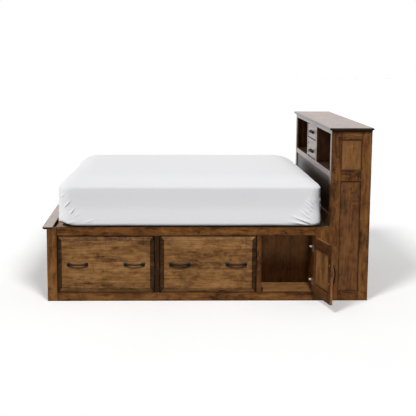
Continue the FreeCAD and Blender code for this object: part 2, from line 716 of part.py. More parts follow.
def drawer_column():
    """Column of two small drawers between the cubbies, with its walls and runners."""
    half = "(column_wide / 2)"
    pieces = []
    wall_x = f"{X_HEAD} + frame_thick"
    wall_long = "headboard_depth - frame_thick - headboard_back"
    wall = "(column_stile / 2)"
    for y in (f"-{half}", f"{half} - column_stile"):
        pieces.append(board(X_HEAD, y, CUBBY_FLOOR, "frame_thick", "column_stile", "cubby_high"))
        for part in range(2):
            pieces.append(board(wall_x, f"{y} + {part} * {wall}", CUBBY_FLOOR, wall_long, wall,
                                f"{CARCASS_TOP} - {CUBBY_FLOOR}"))
    rail_z = f"({CUBBY_FLOOR} + {SMALL_HIGH})"
    inner_y = f"(-{SMALL_WIDE} / 2)"
    pieces.append(board(X_HEAD, inner_y, rail_z, "frame_thick", SMALL_WIDE, "column_rail"))
    dust_z = f"({rail_z} + column_rail - dust_panel)"
    pieces.append(board(wall_x, inner_y, dust_z, wall_long, SMALL_WIDE, "dust_panel"))
    node("drawer_column", pieces)
    runners = []
    for z in (CUBBY_FLOOR, f"{rail_z} + column_rail"):
        for y in (inner_y, f"-{inner_y} - runner_wide"):
            runners.append(board(wall_x, y, z, wall_long, "runner_wide", "runner_high"))
    node("small_drawer_runners", runners)


def small_drawer(name, bay):
    """One small headboard drawer: raised front, box and a pull with its screws."""
    z = f"({CUBBY_FLOOR} + {bay} * ({SMALL_HIGH} + column_rail))"
    half = f"({SMALL_WIDE} / 2)"
    shape = ("small_lip", "small_bevel", "small_step", "frame_thick")
    node(f"{name}_front", [raised_front("foot", f"(-{half} + small_gap)", f"({z} + small_gap)",
                                        f"({SMALL_WIDE} - 2 * small_gap)", f"({SMALL_HIGH} - 2 * small_gap)",
                                        f"(-{X_HEAD} - frame_thick)", shape)])
    box_x = f"({X_HEAD} + frame_thick)"
    box_y = f"(-{half} + small_box_side)"
    box_wide = f"({SMALL_WIDE} - 2 * small_box_side)"
    box_z = f"({z} + runner_high + runner_clear)"
    wall = f"({SMALL_BOX_DEPTH} - 2 * small_box_thick)"
    inner_x, inner_y = f"({box_x} + small_box_thick)", f"({box_y} + small_box_thick)"
    inner_wide = f"({box_wide} - 2 * small_box_thick)"
    boards = [
        board(box_x, box_y, box_z, "small_box_thick", box_wide, SMALL_BOX_HIGH),
        board(f"{inner_x} + {wall}", box_y, box_z, "small_box_thick", box_wide, SMALL_BOX_HIGH),
        board(inner_x, box_y, box_z, wall, "small_box_thick", SMALL_BOX_HIGH),
        board(inner_x, f"{inner_y} + {inner_wide}", box_z, wall, "small_box_thick", SMALL_BOX_HIGH),
        board(inner_x, inner_y, f"{box_z} + small_floor_lift", wall, inner_wide, "small_box_floor"),
    ]
    node(f"{name}_box", boards)
    out = FreeCAD.Rotation(FreeCAD.Vector(0, 1, 0), -90)
    middle = f"{z} + {SMALL_HIGH} / 2"
    inside = f"{X_HEAD} + frame_thick + small_box_thick"
    handle = [pull(FACE_TURN["foot"], X_HEAD, "0", middle)]
    for sign in ("-", ""):
        handle.append(screw(out, "frame_thick + small_box_thick", inside, f"{sign}pull_span / 2", middle))
    node(f"{name}_pull", handle)


def headboard_bolts():
    """Bolts through the cross board of the base into the headboard's bottom rail."""
    turn = FreeCAD.Rotation(FreeCAD.Vector(0, 1, 0), 90)
    bolts = []
    for sign in ("-", ""):
        for below in ("0", "bolt_apart"):
            head_x = f"{X_HEAD} - cross_board - bolt_head_thick"
            z = f"base_height - bolt_drop - {below}"
            head = rod("bolt_head_radius", "bolt_head_thick", turn, head_x, f"{sign}bolt_spread", z)
            shank = rod("bolt_radius", "bolt_head_thick + cross_board + frame_thick", turn, head_x,
                        f"{sign}bolt_spread", z)
            bolts.append(fused([head, shank]))
    node("headboard_bolts", bolts)


def size(name):
    """One driving size, read back from the sheet."""
    return float(sheet.get(name))


def rounded_rectangle(half_long, half_wide, radius, z):
    """A closed wire of four lines and four quarter arcs about the Z axis."""
    edges = []
    diagonal = radius * math.sqrt(0.5)
    for quarter, (sx, sy) in enumerate(((1, 1), (-1, 1), (-1, -1), (1, -1))):
        centre = FreeCAD.Vector(sx * (half_long - radius), sy * (half_wide - radius), z)
        along, across = FreeCAD.Vector(sx * radius, 0, 0), FreeCAD.Vector(0, sy * radius, 0)
        first, last = (along, across) if quarter % 2 == 0 else (across, along)
        middle = centre + FreeCAD.Vector(sx * diagonal, sy * diagonal, 0)
        arc = Part.Arc(centre + first, middle, centre + last).toShape()
        if edges:
            edges.append(Part.makeLine(edges[-1].Vertexes[-1].Point, centre + first))
        edges.append(arc)
    edges.append(Part.makeLine(edges[-1].Vertexes[-1].Point, edges[0].Vertexes[0].Point))
    return Part.Wire(edges)


def mattress():
    """A mattress with rounded corners, tucked lower edge, drawn-in sides and a crowned top."""
    side, crown, tuck = size("mattress_side"), size("mattress_crown"), size("mattress_tuck")
    half_long = (size("base_length") - size("mattress_from_foot") - size("mattress_head_gap")) / 2
    half_wide = size("bed_width") / 2 - size("mattress_side_gap")
    corner = size("mattress_corner")
    half_least = min(half_long, half_wide)
    levels = [(rise * side, inset * tuck) for rise, inset in SIDE_SHARES]
    levels += [(side + rise * crown, inset * half_least) for rise, inset in CROWN_SHARES]
    sections = []
    for rise, inset in levels:
        radius = corner + CORNER_GROWTH_SHARE * inset
        sections.append(rounded_rectangle(half_long - inset, half_wide - inset, radius, rise))
    body = doc.addObject("Part::Feature", "mattress")
    body.Shape = Part.makeLoft(sections, True, True)
    place(body, f"{X_FOOT} + mattress_from_foot + {MATTRESS_LONG} / 2", "0", DECK_TOP)
    node("mattress", [body])


def check():
    """Stop if any object failed or any sub-part has no sound shape."""
    doc.recompute()
    for item in doc.Objects:
        if "Invalid" in item.State or "Error" in item.State:
            raise RuntimeError(f"{item.Label} failed: {item.State}")
    for item in nodes:
        if item.Shape.isNull() or not item.Shape.isValid() or not item.Shape.Solids:
            raise RuntimeError(f"{item.Label} has no sound shape")


def export():
    """Write each sub-part to its own file."""
    os.makedirs("parts", exist_ok=True)
    for item in nodes:
        item.Shape.exportStep(os.path.join("parts", f"{item.Label}.step"))


fill_sheet()
face_frames()
cases()
drawer_channels()
foot_end()
deck()
for long_side in SIDES:
    for drawer_bay in range(2):
        large_drawer(long_side, drawer_bay)
    door(long_side)
cupboard_hardware()
headboard_carcass()
drawer_column()
for drawer_bay, drawer_name in enumerate(("lower_small_drawer", "upper_small_drawer")):
    small_drawer(drawer_name, drawer_bay)
headboard_bolts()
mattress()
check()
export()
print(len(nodes), "sub-parts")
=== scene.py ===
"""Captain's bed: finish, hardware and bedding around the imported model.

Everything is in metres in the model's own frame: +X from foot to head, +Z up, and the
long side with the open cupboard faces -Y.
"""
import json
import math
import random
from collections import namedtuple

import bmesh
import bpy
import numpy as np
from mathutils import Matrix, Vector, noise


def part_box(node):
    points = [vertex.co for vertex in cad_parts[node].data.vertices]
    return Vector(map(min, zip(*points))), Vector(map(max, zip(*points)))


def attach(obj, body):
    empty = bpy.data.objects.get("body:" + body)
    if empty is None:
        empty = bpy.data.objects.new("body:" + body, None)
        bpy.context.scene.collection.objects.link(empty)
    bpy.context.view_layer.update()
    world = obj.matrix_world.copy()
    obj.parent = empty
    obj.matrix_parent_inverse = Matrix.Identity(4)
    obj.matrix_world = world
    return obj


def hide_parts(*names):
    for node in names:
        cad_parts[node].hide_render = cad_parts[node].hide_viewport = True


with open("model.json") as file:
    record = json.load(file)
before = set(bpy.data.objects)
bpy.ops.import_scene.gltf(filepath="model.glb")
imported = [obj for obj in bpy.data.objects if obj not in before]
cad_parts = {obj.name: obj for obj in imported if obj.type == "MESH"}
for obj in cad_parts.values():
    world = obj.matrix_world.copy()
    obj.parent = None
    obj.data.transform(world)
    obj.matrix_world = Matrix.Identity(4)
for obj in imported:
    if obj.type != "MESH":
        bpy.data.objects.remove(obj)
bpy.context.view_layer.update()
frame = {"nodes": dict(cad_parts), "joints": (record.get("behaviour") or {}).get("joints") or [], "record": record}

MM = 0.001
X, Y, Z = Vector((1, 0, 0)), Vector((0, 1, 0)), Vector((0, 0, 1))
BODY_OF = {node: body for body, nodes in frame["record"]["behaviour"]["bodies"].items() for node in nodes}
SLOT_OF = {part["node"]: part["material_slot"] for part in frame["record"]["subparts"]}
LARGE_DRAWERS = [f"{side}_{end}_drawer" for side in ("near", "far") for end in ("foot", "head")]
SMALL_DRAWERS = ["lower_small_drawer", "upper_small_drawer"]
DOORS = ["near_door", "far_door"]

# The photograph's camera: focal length and principal point in pixels of its square frame
PHOTO_PIXELS = 416
FOCAL_PIXELS = 978.5
CENTRE_PIXEL_X = 183.5
CAMERA_PLACE = (-0.346, -8.325, 1.905)
CAMERA_PITCH = math.radians(9.152)
CAMERA_YAW = math.radians(1.211)
CAMERA_ROLL = math.radians(0.19)
SENSOR = 36.0


# Solids of the frame


Solid = namedtuple("Solid", "points faces low high")
WELD = 0.01 * MM
NORMAL_WEIGHT = 100


def shut_turn(body):
    """The move from a body's shut place to where it rests in the model."""
    for joint in frame["joints"]:
        if joint["child"] == body and joint["type"] == "hinge":
            pivot = Matrix.Translation(Vector(joint["pos_m"]))
            turn = Matrix.Rotation(math.radians(-joint["range_deg"][0]), 4, Vector(joint["axis"]))
            return pivot @ turn @ pivot.inverted()
    return Matrix.Identity(4)


def solids(node):
    """The closed solids of a CAD node, as they lie when its body is shut."""
    mesh = frame["nodes"][node].data
    back = shut_turn(BODY_OF[node]).inverted()
    keys = [tuple(round(c / WELD) for c in vertex.co) for vertex in mesh.vertices]
    places = {key: back @ vertex.co for key, vertex in zip(keys, mesh.vertices)}
    found, faces, unpaired = [], [], set()
    for polygon in mesh.polygons:
        ring = [keys[index] for index in polygon.vertices]
        if len(set(ring)) < len(ring):
            continue
        faces.append(ring)
        for pair in zip(ring, ring[1:] + ring[:1]):
            unpaired ^= {frozenset(pair)}
        if not unpaired:
            used = sorted({key for face in faces for key in face})
            index = {key: number for number, key in enumerate(used)}
            points = [places[key] for key in used]
            low = Vector([min(p[axis] for p in points) for axis in range(3)])
            high = Vector([max(p[axis] for p in points) for axis in range(3)])
            found.append(Solid(points, [[index[key] for key in face] for face in faces], low, high))
            faces = []
    return found


def new_object(name, points, faces, material, smooth=True):
    """A mesh object in the scene, with one material."""
    mesh = bpy.data.meshes.new(name)
    mesh.from_pydata([tuple(p) for p in points], [], faces)
    mesh.polygons.foreach_set("use_smooth", [smooth] * len(mesh.polygons))
    mesh.materials.append(material)
    mesh.update()
    item = bpy.data.objects.new(name, mesh)
    bpy.context.scene.collection.objects.link(item)
    return item


def set_layer(item, name, values, kind="FLOAT_VECTOR", field="vector"):
    """Give the points of a piece an attribute."""
    layer = item.data.attributes.new(name, kind, "POINT")
    layer.data.foreach_set(field, np.array(values, dtype=np.float32).ravel())


def weighted_normals(item):
    """Keep large faces flat beside their rounded edges."""
    modifier = item.modifiers.new("normals", "WEIGHTED_NORMAL")
    modifier.weight = NORMAL_WEIGHT
    modifier.keep_sharp = True


def settle(item, body, slot, *nodes):
    """Turn a piece to where its body rests, tie it to the body and hide the nodes it replaces; slot is not used."""
    item.data.transform(shut_turn(body))
    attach(item, body)
    if nodes:
        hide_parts(*nodes)


# Boards: the CAD solids with eased edges and a grain of their own


EDGE_ANGLE = math.radians(20)
FLAT_ANGLE = math.radians(0.5)
WOOD_EASE = 1.1 * MM
METAL_EASE = 0.5 * MM
EASE_STEPS = 2
EASE_PROFILE = 0.6
seeds = random.Random(11)


def eased(solid, ease):
    """Points and faces of a solid whose sharp edges are rounded off."""
    shape = bmesh.new()
    corners = [shape.verts.new(point) for point in solid.points]
    for face in solid.faces:
        shape.faces.new([corners[index] for index in face])
    bmesh.ops.recalc_face_normals(shape, faces=shape.faces)
    bmesh.ops.dissolve_limit(shape, angle_limit=FLAT_ANGLE, verts=shape.verts, edges=shape.edges)
    sharp = [edge for edge in shape.edges if edge.calc_face_angle(0) > EDGE_ANGLE]
    bmesh.ops.bevel(shape, geom=sharp, offset=ease, segments=EASE_STEPS, profile=EASE_PROFILE,
                    affect="EDGES", clamp_overlap=True)
    shape.verts.index_update()
    points = [vertex.co.copy() for vertex in shape.verts]
    faces = [[vertex.index for vertex in face.verts] for face in shape.faces]
    shape.free()
    return points, faces


# Seeds of boards that are darker or lighter than chance gives: a low seed is a dark board
CHOSEN_SEEDS = {("mid_stiles", 0): -1.6, ("headboard_end_panels", 0): 0.2, ("headboard_end_panels", 2): 2.2}


def dress(node, material, ease=WOOD_EASE, behind=None):
    """Replace a node by its solids with eased edges, each with its own grain direction and seed.

    behind is a second material that paints shade on the boards that don't reach the front of the node.
    """
    points, faces, grain, half, seed, inner = [], [], [], [], [], []
    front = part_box(node)[0].x + MM
    for number, solid in enumerate(solids(node)):
        board_points, board_faces = eased(solid, ease)
        extent, middle = solid.high - solid.low, (solid.high + solid.low) / 2
        order = sorted(range(3), key=lambda axis: -extent[axis])
        start = len(points)
        points += board_points
        faces += [[start + index for index in face] for face in board_faces]
        inner += [int(behind is not None and solid.low.x > front)] * len(board_faces)
        grain += [[(p - middle)[axis] for axis in order] for p in board_points]
        half += [[extent[axis] / 2 for axis in order]] * len(board_points)
        drawn = seeds.random()
        seed += [CHOSEN_SEEDS.get((node, number), drawn)] * len(board_points)
    item = new_object(f"{node}.finished", points, faces, material)
    if behind:
        item.data.materials.append(behind)
        item.data.polygons.foreach_set("material_index", inner)
    set_layer(item, "grain", grain)
    set_layer(item, "half", half)
    set_layer(item, "seed", seed, "FLOAT", "value")
    weighted_normals(item)
    settle(item, BODY_OF[node], SLOT_OF[node], node)


# Materials


class Tree:
    """Short calls for building the nodes of one material."""

    def __init__(self, name):
        self.material = bpy.data.materials.new(name)
        self.material.use_nodes = True
        self.nodes = self.material.node_tree.nodes
        self.links = self.material.node_tree.links
        self.shader = self.nodes["Principled BSDF"]

    def feed(self, socket, value):
        """Link a socket to an output, or set its own value."""
        if isinstance(value, bpy.types.NodeSocket):
            self.links.new(value, socket)
        else:
            socket.default_value = value

    def add(self, kind, inputs, **settings):
        """A node with its settings and inputs."""
        made = self.nodes.new(kind)
        for key, value in settings.items():
            setattr(made, key, value)
        for key, value in inputs.items():
            self.feed(made.inputs[key], value)
        return made

    def surface(self, **inputs):
        """Set or link inputs of the shader by their names, with _ for spaces."""
        for key, value in inputs.items():
            self.feed(self.shader.inputs[key.replace("_", " ")], value)

    def math(self, operation, *values):
        return self.add("ShaderNodeMath", dict(enumerate(values)), operation=operation).outputs[0]

    def times(self, first, second):
        return self.math("MULTIPLY", first, second)

    def vector(self, operation, *values):
        return self.add("ShaderNodeVectorMath", dict(enumerate(values)), operation=operation).outputs[0]

    def scaled(self, vector, factor):
        return self.add("ShaderNodeVectorMath", {0: vector, "Scale": factor}, operation="SCALE").outputs[0]

    def split(self, vector):
        return self.add("ShaderNodeSeparateXYZ", {0: vector}).outputs

    def joined(self, x, y, z):
        return self.add("ShaderNodeCombineXYZ", {0: x, 1: y, 2: z}).outputs[0]

    def attribute(self, name, output="Vector"):
        return self.add("ShaderNodeAttribute", {}, attribute_name=name).outputs[output]

    def noise(self, vector, stretch, detail=2.0, roughness=0.5, distortion=0.0):
        """Noise along a vector that is first stretched, from 0 to 1 about 0.5."""
        spot = self.vector("MULTIPLY", vector, stretch)
        inputs = {"Vector": spot, "Scale": 1.0, "Detail": detail, "Roughness": roughness,
                  "Distortion": distortion}
        return self.add("ShaderNodeTexNoise", inputs).outputs["Fac"]

    def span(self, value, start, end, low=0.0, high=1.0, smooth=True):
        """Map a value from start and end to low and high, held at both ends."""
        inputs = {"Value": value, "From Min": start, "From Max": end, "To Min": low, "To Max": high}
        kind = "SMOOTHSTEP" if smooth else "LINEAR"
        return self.add("ShaderNodeMapRange", inputs, interpolation_type=kind).outputs[0]

    def blend(self, factor, first, second, kind="MIX"):
        made = self.add("ShaderNodeMix", {0: factor, 6: first, 7: second}, data_type="RGBA", blend_type=kind)
        return made.outputs[2]

    def ramp(self, value, stops):
        made = self.add("ShaderNodeValToRGB", {0: value})
        points = made.color_ramp.elements
        while len(points) < len(stops):
            points.new(0.5)
        for point, (place, colour) in zip(points, stops):
            point.position = place
            point.color = (*colour, 1)
        return made.outputs[0]

    def bump(self, height, distance, strength):
        made = self.add("ShaderNodeBump", {"Height": height, "Distance": distance, "Strength": strength})
        self.feed(self.shader.inputs["Normal"], made.outputs[0])


# Wood tones, from the darkest grain to the lightest, in linear light
FRONT_TONES = ((0.0473, 0.0196, 0.0060), (0.1764, 0.0784, 0.0242),
               (0.2688, 0.1333, 0.0446), (0.3801, 0.2038, 0.0769))
PANEL_TONES = ((0.0340, 0.0125, 0.0032), (0.1280, 0.0470, 0.0112),
               (0.1920, 0.0790, 0.0200), (0.2750, 0.1220, 0.0340))
FRAME_TONES = ((0.0378, 0.0139, 0.0039), (0.1338, 0.0500, 0.0126),
               (0.2040, 0.0845, 0.0223), (0.2990, 0.1343, 0.0384))
RAIL_TONES = ((0.0390, 0.0140, 0.0035), (0.1380, 0.0500, 0.0115),
              (0.2100, 0.0840, 0.0200), (0.3040, 0.1330, 0.0340))
INSIDE_TONES = ((0.0700, 0.0280, 0.0080), (0.1650, 0.0670, 0.0180),
                (0.2250, 0.0960, 0.0260), (0.3100, 0.1400, 0.0410))
# Darker tones of the same stain: painted shade inside the cubbies
CUBBY_SHADE_TONES = ((0.0390, 0.0137, 0.0036), (0.0975, 0.0346, 0.0105),
               (0.1404, 0.0528, 0.0164), (0.2048, 0.0819, 0.0273))
# Nearly black tones of the stain: painted shade under the cap and on the headboard's front panel
PAINTED_SHADE_TONES = ((0.0100, 0.0040, 0.0012), (0.0280, 0.0110, 0.0035),
               (0.0440, 0.0180, 0.0055), (0.0700, 0.0300, 0.0100))
MAPLE_TONES = ((0.2300, 0.1400, 0.0650), (0.4000, 0.2700, 0.1400),
               (0.5200, 0.3700, 0.2100), (0.6200, 0.4700, 0.2900))
PLY_TONES = ((0.2100, 0.1350, 0.0750), (0.3400, 0.2400, 0.1500),
             (0.4300, 0.3200, 0.2150), (0.5200, 0.4100, 0.2900))
TONE_PLACES = (0.25, 0.42, 0.55, 0.75)
TONE_MIDDLE = 0.47

# Noise in wood: cycles to the metre along, across and through a board, detail, roughness, distortion
BEND = (1.7, 6.0, 6.0), 3.0
BLOTCH = (3.2, 12.0, 12.0), 4.0, 0.6, 0.3
MOTTLE = (16.0, 30.0, 30.0), 3.0, 0.6, 0.5
STREAK = (5.0, 90.0, 90.0), 4.0, 0.6, 0.3
FIBRE = (24.0, 620.0, 620.0), 2.0
CURL = (58.0, 24.0, 24.0), 3.0, 0.55, 1.1
CURL_PATCH = (5.0, 9.0, 9.0), 2.0
# How much each noise moves the tone, and how much the seed of a board does
TONE_BASE = -0.24
TONE_SHARES = (0.50, 0.42, 0.34, 0.14)
SEED_SPAN, SEED_TONES = (-2.0, 2.5), (-0.21, 0.15)
SEED_SHIFT = (37.0, 11.0, 5.0)
STAVE_SHIFT = 0.618
WAVER = 50 * MM
# Curl and knots: the noise that shows them, and how much they darken the tone
CURL_SPAN, PATCH_SPAN, CURL_DEPTH = (0.52, 0.70), (0.48, 0.66), -0.16
KNOT, KNOT_RAGGED = (3.0, 7.0, 7.0), (0.05, 0.02, 0.02)
KNOT_CHOSEN, KNOT_REACH, KNOT_DEPTH = (0.78, 0.80), 0.24, -0.26

# Shade of stain where it soaks into end grain, and how deep from the ends of a board
END_SHADE = 0.29
END_DEPTH = 2 * MM
# The glaze and painted shade at a board's edges: where it starts at an edge, and a fainter one that wanders wide of
# the edges
GLAZE_AND_SHADE_START = 0.5 * MM
SOFT_GLAZE_AND_SHADE, SOFT_SHADE, SOFT_WANDER = (-25 * MM, 20 * MM), 0.84, -50 * MM
# A bevel of end grain: how its streaks show, and the dark line of painted shade along the step where it meets the
# field
BEVEL_STREAK = 0.3
BEVEL_SLACK = 0.1 * MM
BEVEL_LINE, BEVEL_LINE_SHADE = 2.5 * MM, 0.50
SEAM_WIDE, SEAM_SHADE = 1.6 * MM, 0.72
PLY_SPAN, PLY_SHADE = (-0.4, 0.4), 0.72
ROUGH_SPREAD = 0.22
COAT_ROUGH = 0.2
GRAIN_HIGH, GRAIN_STRENGTH, FIBRE_HIGH = 0.3 * MM, 0.4, 0.6


def wood_flow(tree, stave):
    """Grain coordinates of a board that waver along it, and the seed of each stave in it."""
    place, seed = tree.attribute("grain"), tree.attribute("seed", "Fac")
    if stave:
        offset = tree.math("MULTIPLY_ADD", seed, stave, tree.split(place)[1])
        lane = tree.math("FLOOR", tree.math("DIVIDE", offset, stave))
        seed = tree.math("FRACT", tree.math("MULTIPLY_ADD", lane, STAVE_SHIFT, seed))
    shifted = tree.vector("ADD", place, tree.scaled(SEED_SHIFT, seed))
    waver = tree.math("MULTIPLY_ADD", tree.noise(shifted, *BEND), WAVER, -WAVER / 2)
    return tree.vector("ADD", shifted, tree.joined(0.0, waver, waver)), seed


def edge_depths(tree):
    """Depth below a board's ends and narrow sides, and distance along a face to its nearest edge."""
    depth = tree.vector("SUBTRACT", tree.attribute("half"), tree.vector("ABSOLUTE", tree.attribute("grain")))
    a, b, c = tree.split(depth)
    outer = tree.math("MAXIMUM", a, b)
    return a, b, tree.math("MAXIMUM", tree.math("MINIMUM", a, b), tree.math("MINIMUM", outer, c))


def figure(tree, flow, rustic):
    """Marks that darken rustic wood: curl in patches, and knots with a soft halo."""
    patch = tree.span(tree.noise(flow, *CURL_PATCH), *PATCH_SPAN)
    ripple = tree.noise(flow, *CURL)
    curl = tree.times(tree.times(tree.span(ripple, *CURL_SPAN), patch), CURL_DEPTH * rustic)
    ragged = tree.vector("ADD", flow, tree.scaled(KNOT_RAGGED, ripple))
    cells = tree.add("ShaderNodeTexVoronoi", {"Vector": tree.vector("MULTIPLY", ragged, KNOT), "Scale": 1.0})
    chosen = tree.span(tree.split(cells.outputs["Color"])[0], *KNOT_CHOSEN)
    knot = tree.span(cells.outputs["Distance"], 0.0, KNOT_REACH, 1.0, 0.0)
    return tree.math("ADD", curl, tree.times(tree.times(knot, chosen), KNOT_DEPTH * rustic))


def bevel_shade(tree, border, end_shade, streak, end, distance):
    """Shade of a bevel that shows end grain at both ends of a board, with a dark line of painted shade along the
    step where it meets the field.
    """
    grained = tree.math("MULTIPLY_ADD", streak, BEVEL_STREAK, end_shade - BEVEL_STREAK / 2)
    on_end = tree.math("LESS_THAN", end, tree.math("ADD", distance, BEVEL_SLACK))
    on_bevel = tree.times(on_end, tree.span(distance, border - MM, border, 1.0, 0.0))
    bevel = tree.math("MULTIPLY_ADD", on_bevel, tree.math("SUBTRACT", grained, 1.0), 1.0)
    off_line = tree.math("ABSOLUTE", tree.math("SUBTRACT", distance, border))
    return tree.times(bevel, tree.span(off_line, 0.0, BEVEL_LINE, BEVEL_LINE_SHADE, 1.0))


def wood(name, tones, stave=0.0, border=0.0, rustic=1.0, glaze_and_shade=0.72, glaze_and_shade_wide=9 * MM, edge=1.0,
         end_shade=END_SHADE, contrast=1.0, roughness=0.42, gloss=0.75, shine=0.35, plies=0.0):
    """Wood with blotches, streaks, figure and fibre, and a glaze that darkens its edges and end grain and also
    paints shade into the recesses round panels.

    stave is the width of the boards glued side by side, border the width of a bevel that shows end grain,
    rustic the amount of figure, the glaze arguments the depth and width of the darkening at the edges,
    edge and end_shade the shades of a board's narrow faces and of its ends, where an edge below 1 paints
    shade and above 1 paints a highlight, shine the gloss of the wood under its coat, and plies the thickness of
    plywood layers.
    """
    tree = Tree(name)
    flow, seed = wood_flow(tree, stave)
    blotch, mottle, streak, fibre = [tree.noise(flow, *kind) for kind in (BLOTCH, MOTTLE, STREAK, FIBRE)]
    tone = TONE_BASE
    for layer, share in zip((blotch, mottle, streak, fibre), TONE_SHARES):
        tone = tree.math("MULTIPLY_ADD", layer, share, tone)
    tone = tree.math("ADD", tone, tree.span(seed, *SEED_SPAN, *SEED_TONES, smooth=False))
    if rustic:
        tone = tree.math("ADD", tone, figure(tree, flow, rustic))
    places = [TONE_MIDDLE + (place - TONE_MIDDLE) / contrast for place in TONE_PLACES]
    colour = tree.ramp(tone, list(zip(places, tones)))
    end, side, distance = edge_depths(tree)
    # Glaze and painted shade: darker near each edge of a board, and a fainter darkening that wanders further in
    soft = tree.span(tree.math("MULTIPLY_ADD", blotch, SOFT_WANDER, distance), *SOFT_GLAZE_AND_SHADE, SOFT_SHADE, 1.0)
    shade = tree.times(tree.span(distance, GLAZE_AND_SHADE_START, glaze_and_shade_wide, glaze_and_shade, 1.0), soft)
    if gloss:
        shade = tree.times(shade, tree.span(end, END_DEPTH / 2, END_DEPTH, end_shade, 1.0))
    # A board's narrow faces: below 1 this paints shade on them, above 1 a highlight
    if edge != 1:
        shade = tree.times(shade, tree.span(side, END_DEPTH / 2, END_DEPTH, edge, 1.0))
    if border:
        shade = tree.times(shade, bevel_shade(tree, border, end_shade, streak, end, distance))
    _, across, through = tree.split(tree.attribute("grain"))
    if stave:
        offset = tree.math("MULTIPLY_ADD", tree.attribute("seed", "Fac"), stave, across)
        seam = tree.math("PINGPONG", offset, stave / 2)
        shade = tree.times(shade, tree.span(seam, 0.0, SEAM_WIDE, SEAM_SHADE, 1.0))
    if plies:
        layer = tree.math("SINE", tree.times(through, math.tau / plies))
        shade = tree.times(shade, tree.span(layer, *PLY_SPAN, PLY_SHADE, 1.0))
    shaded = tree.blend(1.0, colour, tree.joined(shade, shade, shade), "MULTIPLY")
    rough = tree.math("MULTIPLY_ADD", streak, ROUGH_SPREAD, roughness - ROUGH_SPREAD / 2)
    tree.surface(Base_Color=shaded, Roughness=rough, Specular_IOR_Level=shine, Coat_Weight=gloss,
                 Coat_Roughness=COAT_ROUGH)
    tree.bump(tree.math("MULTIPLY_ADD", fibre, FIBRE_HIGH, streak), GRAIN_HIGH, GRAIN_STRENGTH)
    return tree.material


# Metal: size of its wear, the shares of spots and wear in its tone, and how wear changes its gloss
WEAR_SIZE = 0.12
SPOT_SHARE, WEAR_SHARE = 0.4, 0.6
TONE_SPAN, WEAR_SPAN = (0.36, 0.64), (0.35, 0.65)
POLISHED, DULLED = -0.07, 0.09
SPOT_HIGH, SPOT_STRENGTH = 0.08, 0.35


def metal(name, colour, metallic, roughness, mottle, grain_size):
    """Metal whose finish varies in fine spots and faint wear."""
    tree = Tree(name)
    place = tree.add("ShaderNodeTexCoord", {}).outputs["Object"]
    spots = tree.noise(place, (1 / grain_size,) * 3, 4.0, 0.6)
    worn = tree.noise(place, (WEAR_SIZE / grain_size,) * 3, 3.0, 0.6)
    light = [min(1.0, c * (1 + mottle)) for c in colour]
    deep = [c * (1 - mottle) for c in colour]
    mixed = tree.math("ADD", tree.times(spots, SPOT_SHARE), tree.times(worn, WEAR_SHARE))
    tone = tree.ramp(mixed, list(zip(TONE_SPAN, (deep, light))))
    rough = tree.span(worn, *WEAR_SPAN, roughness + POLISHED, roughness + DULLED)
    tree.surface(Base_Color=tone, Metallic=metallic, Roughness=rough)
    tree.bump(spots, grain_size * SPOT_HIGH, SPOT_STRENGTH)
    return tree.material


# Plastic: cycles to the metre of its texture and of its tone, and its darker tone
TEXTURE, CLOUD = (2600.0,) * 3, (60.0,) * 3
CLOUD_SPAN, CLOUD_SHADE = (0.35, 0.65), 0.85
TEXTURE_HIGH, TEXTURE_STRENGTH = 0.05 * MM, 0.5


def plastic(name, colour, roughness):
    """Moulded plastic with a fine texture."""
    tree = Tree(name)
    place = tree.add("ShaderNodeTexCoord", {}).outputs["Object"]
    tones = [c * CLOUD_SHADE for c in colour], colour
    tone = tree.ramp(tree.noise(place, CLOUD, 3.0), list(zip(CLOUD_SPAN, tones)))
    tree.surface(Base_Color=tone, Roughness=roughness)
    tree.bump(tree.noise(place, TEXTURE, 2.0), TEXTURE_HIGH, TEXTURE_STRENGTH)
    return tree.material


# Cotton: its threads and slubs, its tones, and how far the weave stands up beside the slubs
THREAD = 0.9 * MM
SLUB, CROSS_SLUB = (900.0, 40.0, 40.0), (40.0, 900.0, 40.0)
SLUB_SPAN = (0.38, 0.60)
COTTON = ((0.73, 0.73, 0.742), (0.775, 0.775, 0.785))
WEAVE_SHARE = 0.3
WEAVE_HIGH, WEAVE_STRENGTH = 0.12 * MM, 0.4


def cotton(name):
    """Plain woven cotton: crossing threads, slubs and a faint sheen."""
    tree = Tree(name)
    place = tree.attribute("cloth")
    across, along, _ = tree.split(place)
    warp = tree.math("SINE", tree.times(across, math.tau / THREAD))
    weft = tree.math("SINE", tree.times(along, math.tau / THREAD))
    slub, cross_slub = tree.noise(place, SLUB, 2.0), tree.noise(place, CROSS_SLUB, 2.0)
    threads = tree.times(tree.math("ADD", slub, cross_slub), 0.5)
    tone = tree.ramp(threads, list(zip(SLUB_SPAN, COTTON)))
    tree.surface(Base_Color=tone, Roughness=0.85, Diffuse_Roughness=0.6, Sheen_Weight=0.10,
                 Sheen_Roughness=0.5)
    weave = tree.math("MULTIPLY_ADD", tree.times(warp, weft), WEAVE_SHARE, threads)
    tree.bump(weave, WEAVE_HIGH, WEAVE_STRENGTH)
    return tree.material


# The narrow faces of frame boards are darkened: painted shade
STAINED_FRAME = wood("stained_frame", FRAME_TONES, edge=0.35, contrast=1.4, gloss=0.15, shine=0.15)
STAINED_BRIGHT = wood("stained_bright", PANEL_TONES)
# The rail tops are darkened: painted shade where the sheet's lower edge overhangs them
STAINED_RAIL = wood("stained_rail", RAIL_TONES, edge=0.22, contrast=1.4, gloss=0.15, shine=0.15)
# Dark outlines round the foot panels and small drawer fronts: glaze and painted shade
STAINED_PANEL = wood("stained_panel", PANEL_TONES, glaze_and_shade=0.38)
# The headboard's front panel is nearly black wood under its coat: painted shade
BACKDROP_PAINTED_SHADE = wood("backdrop_painted_shade", PAINTED_SHADE_TONES, glaze_and_shade=0.38, gloss=0.22, shine=0.20)
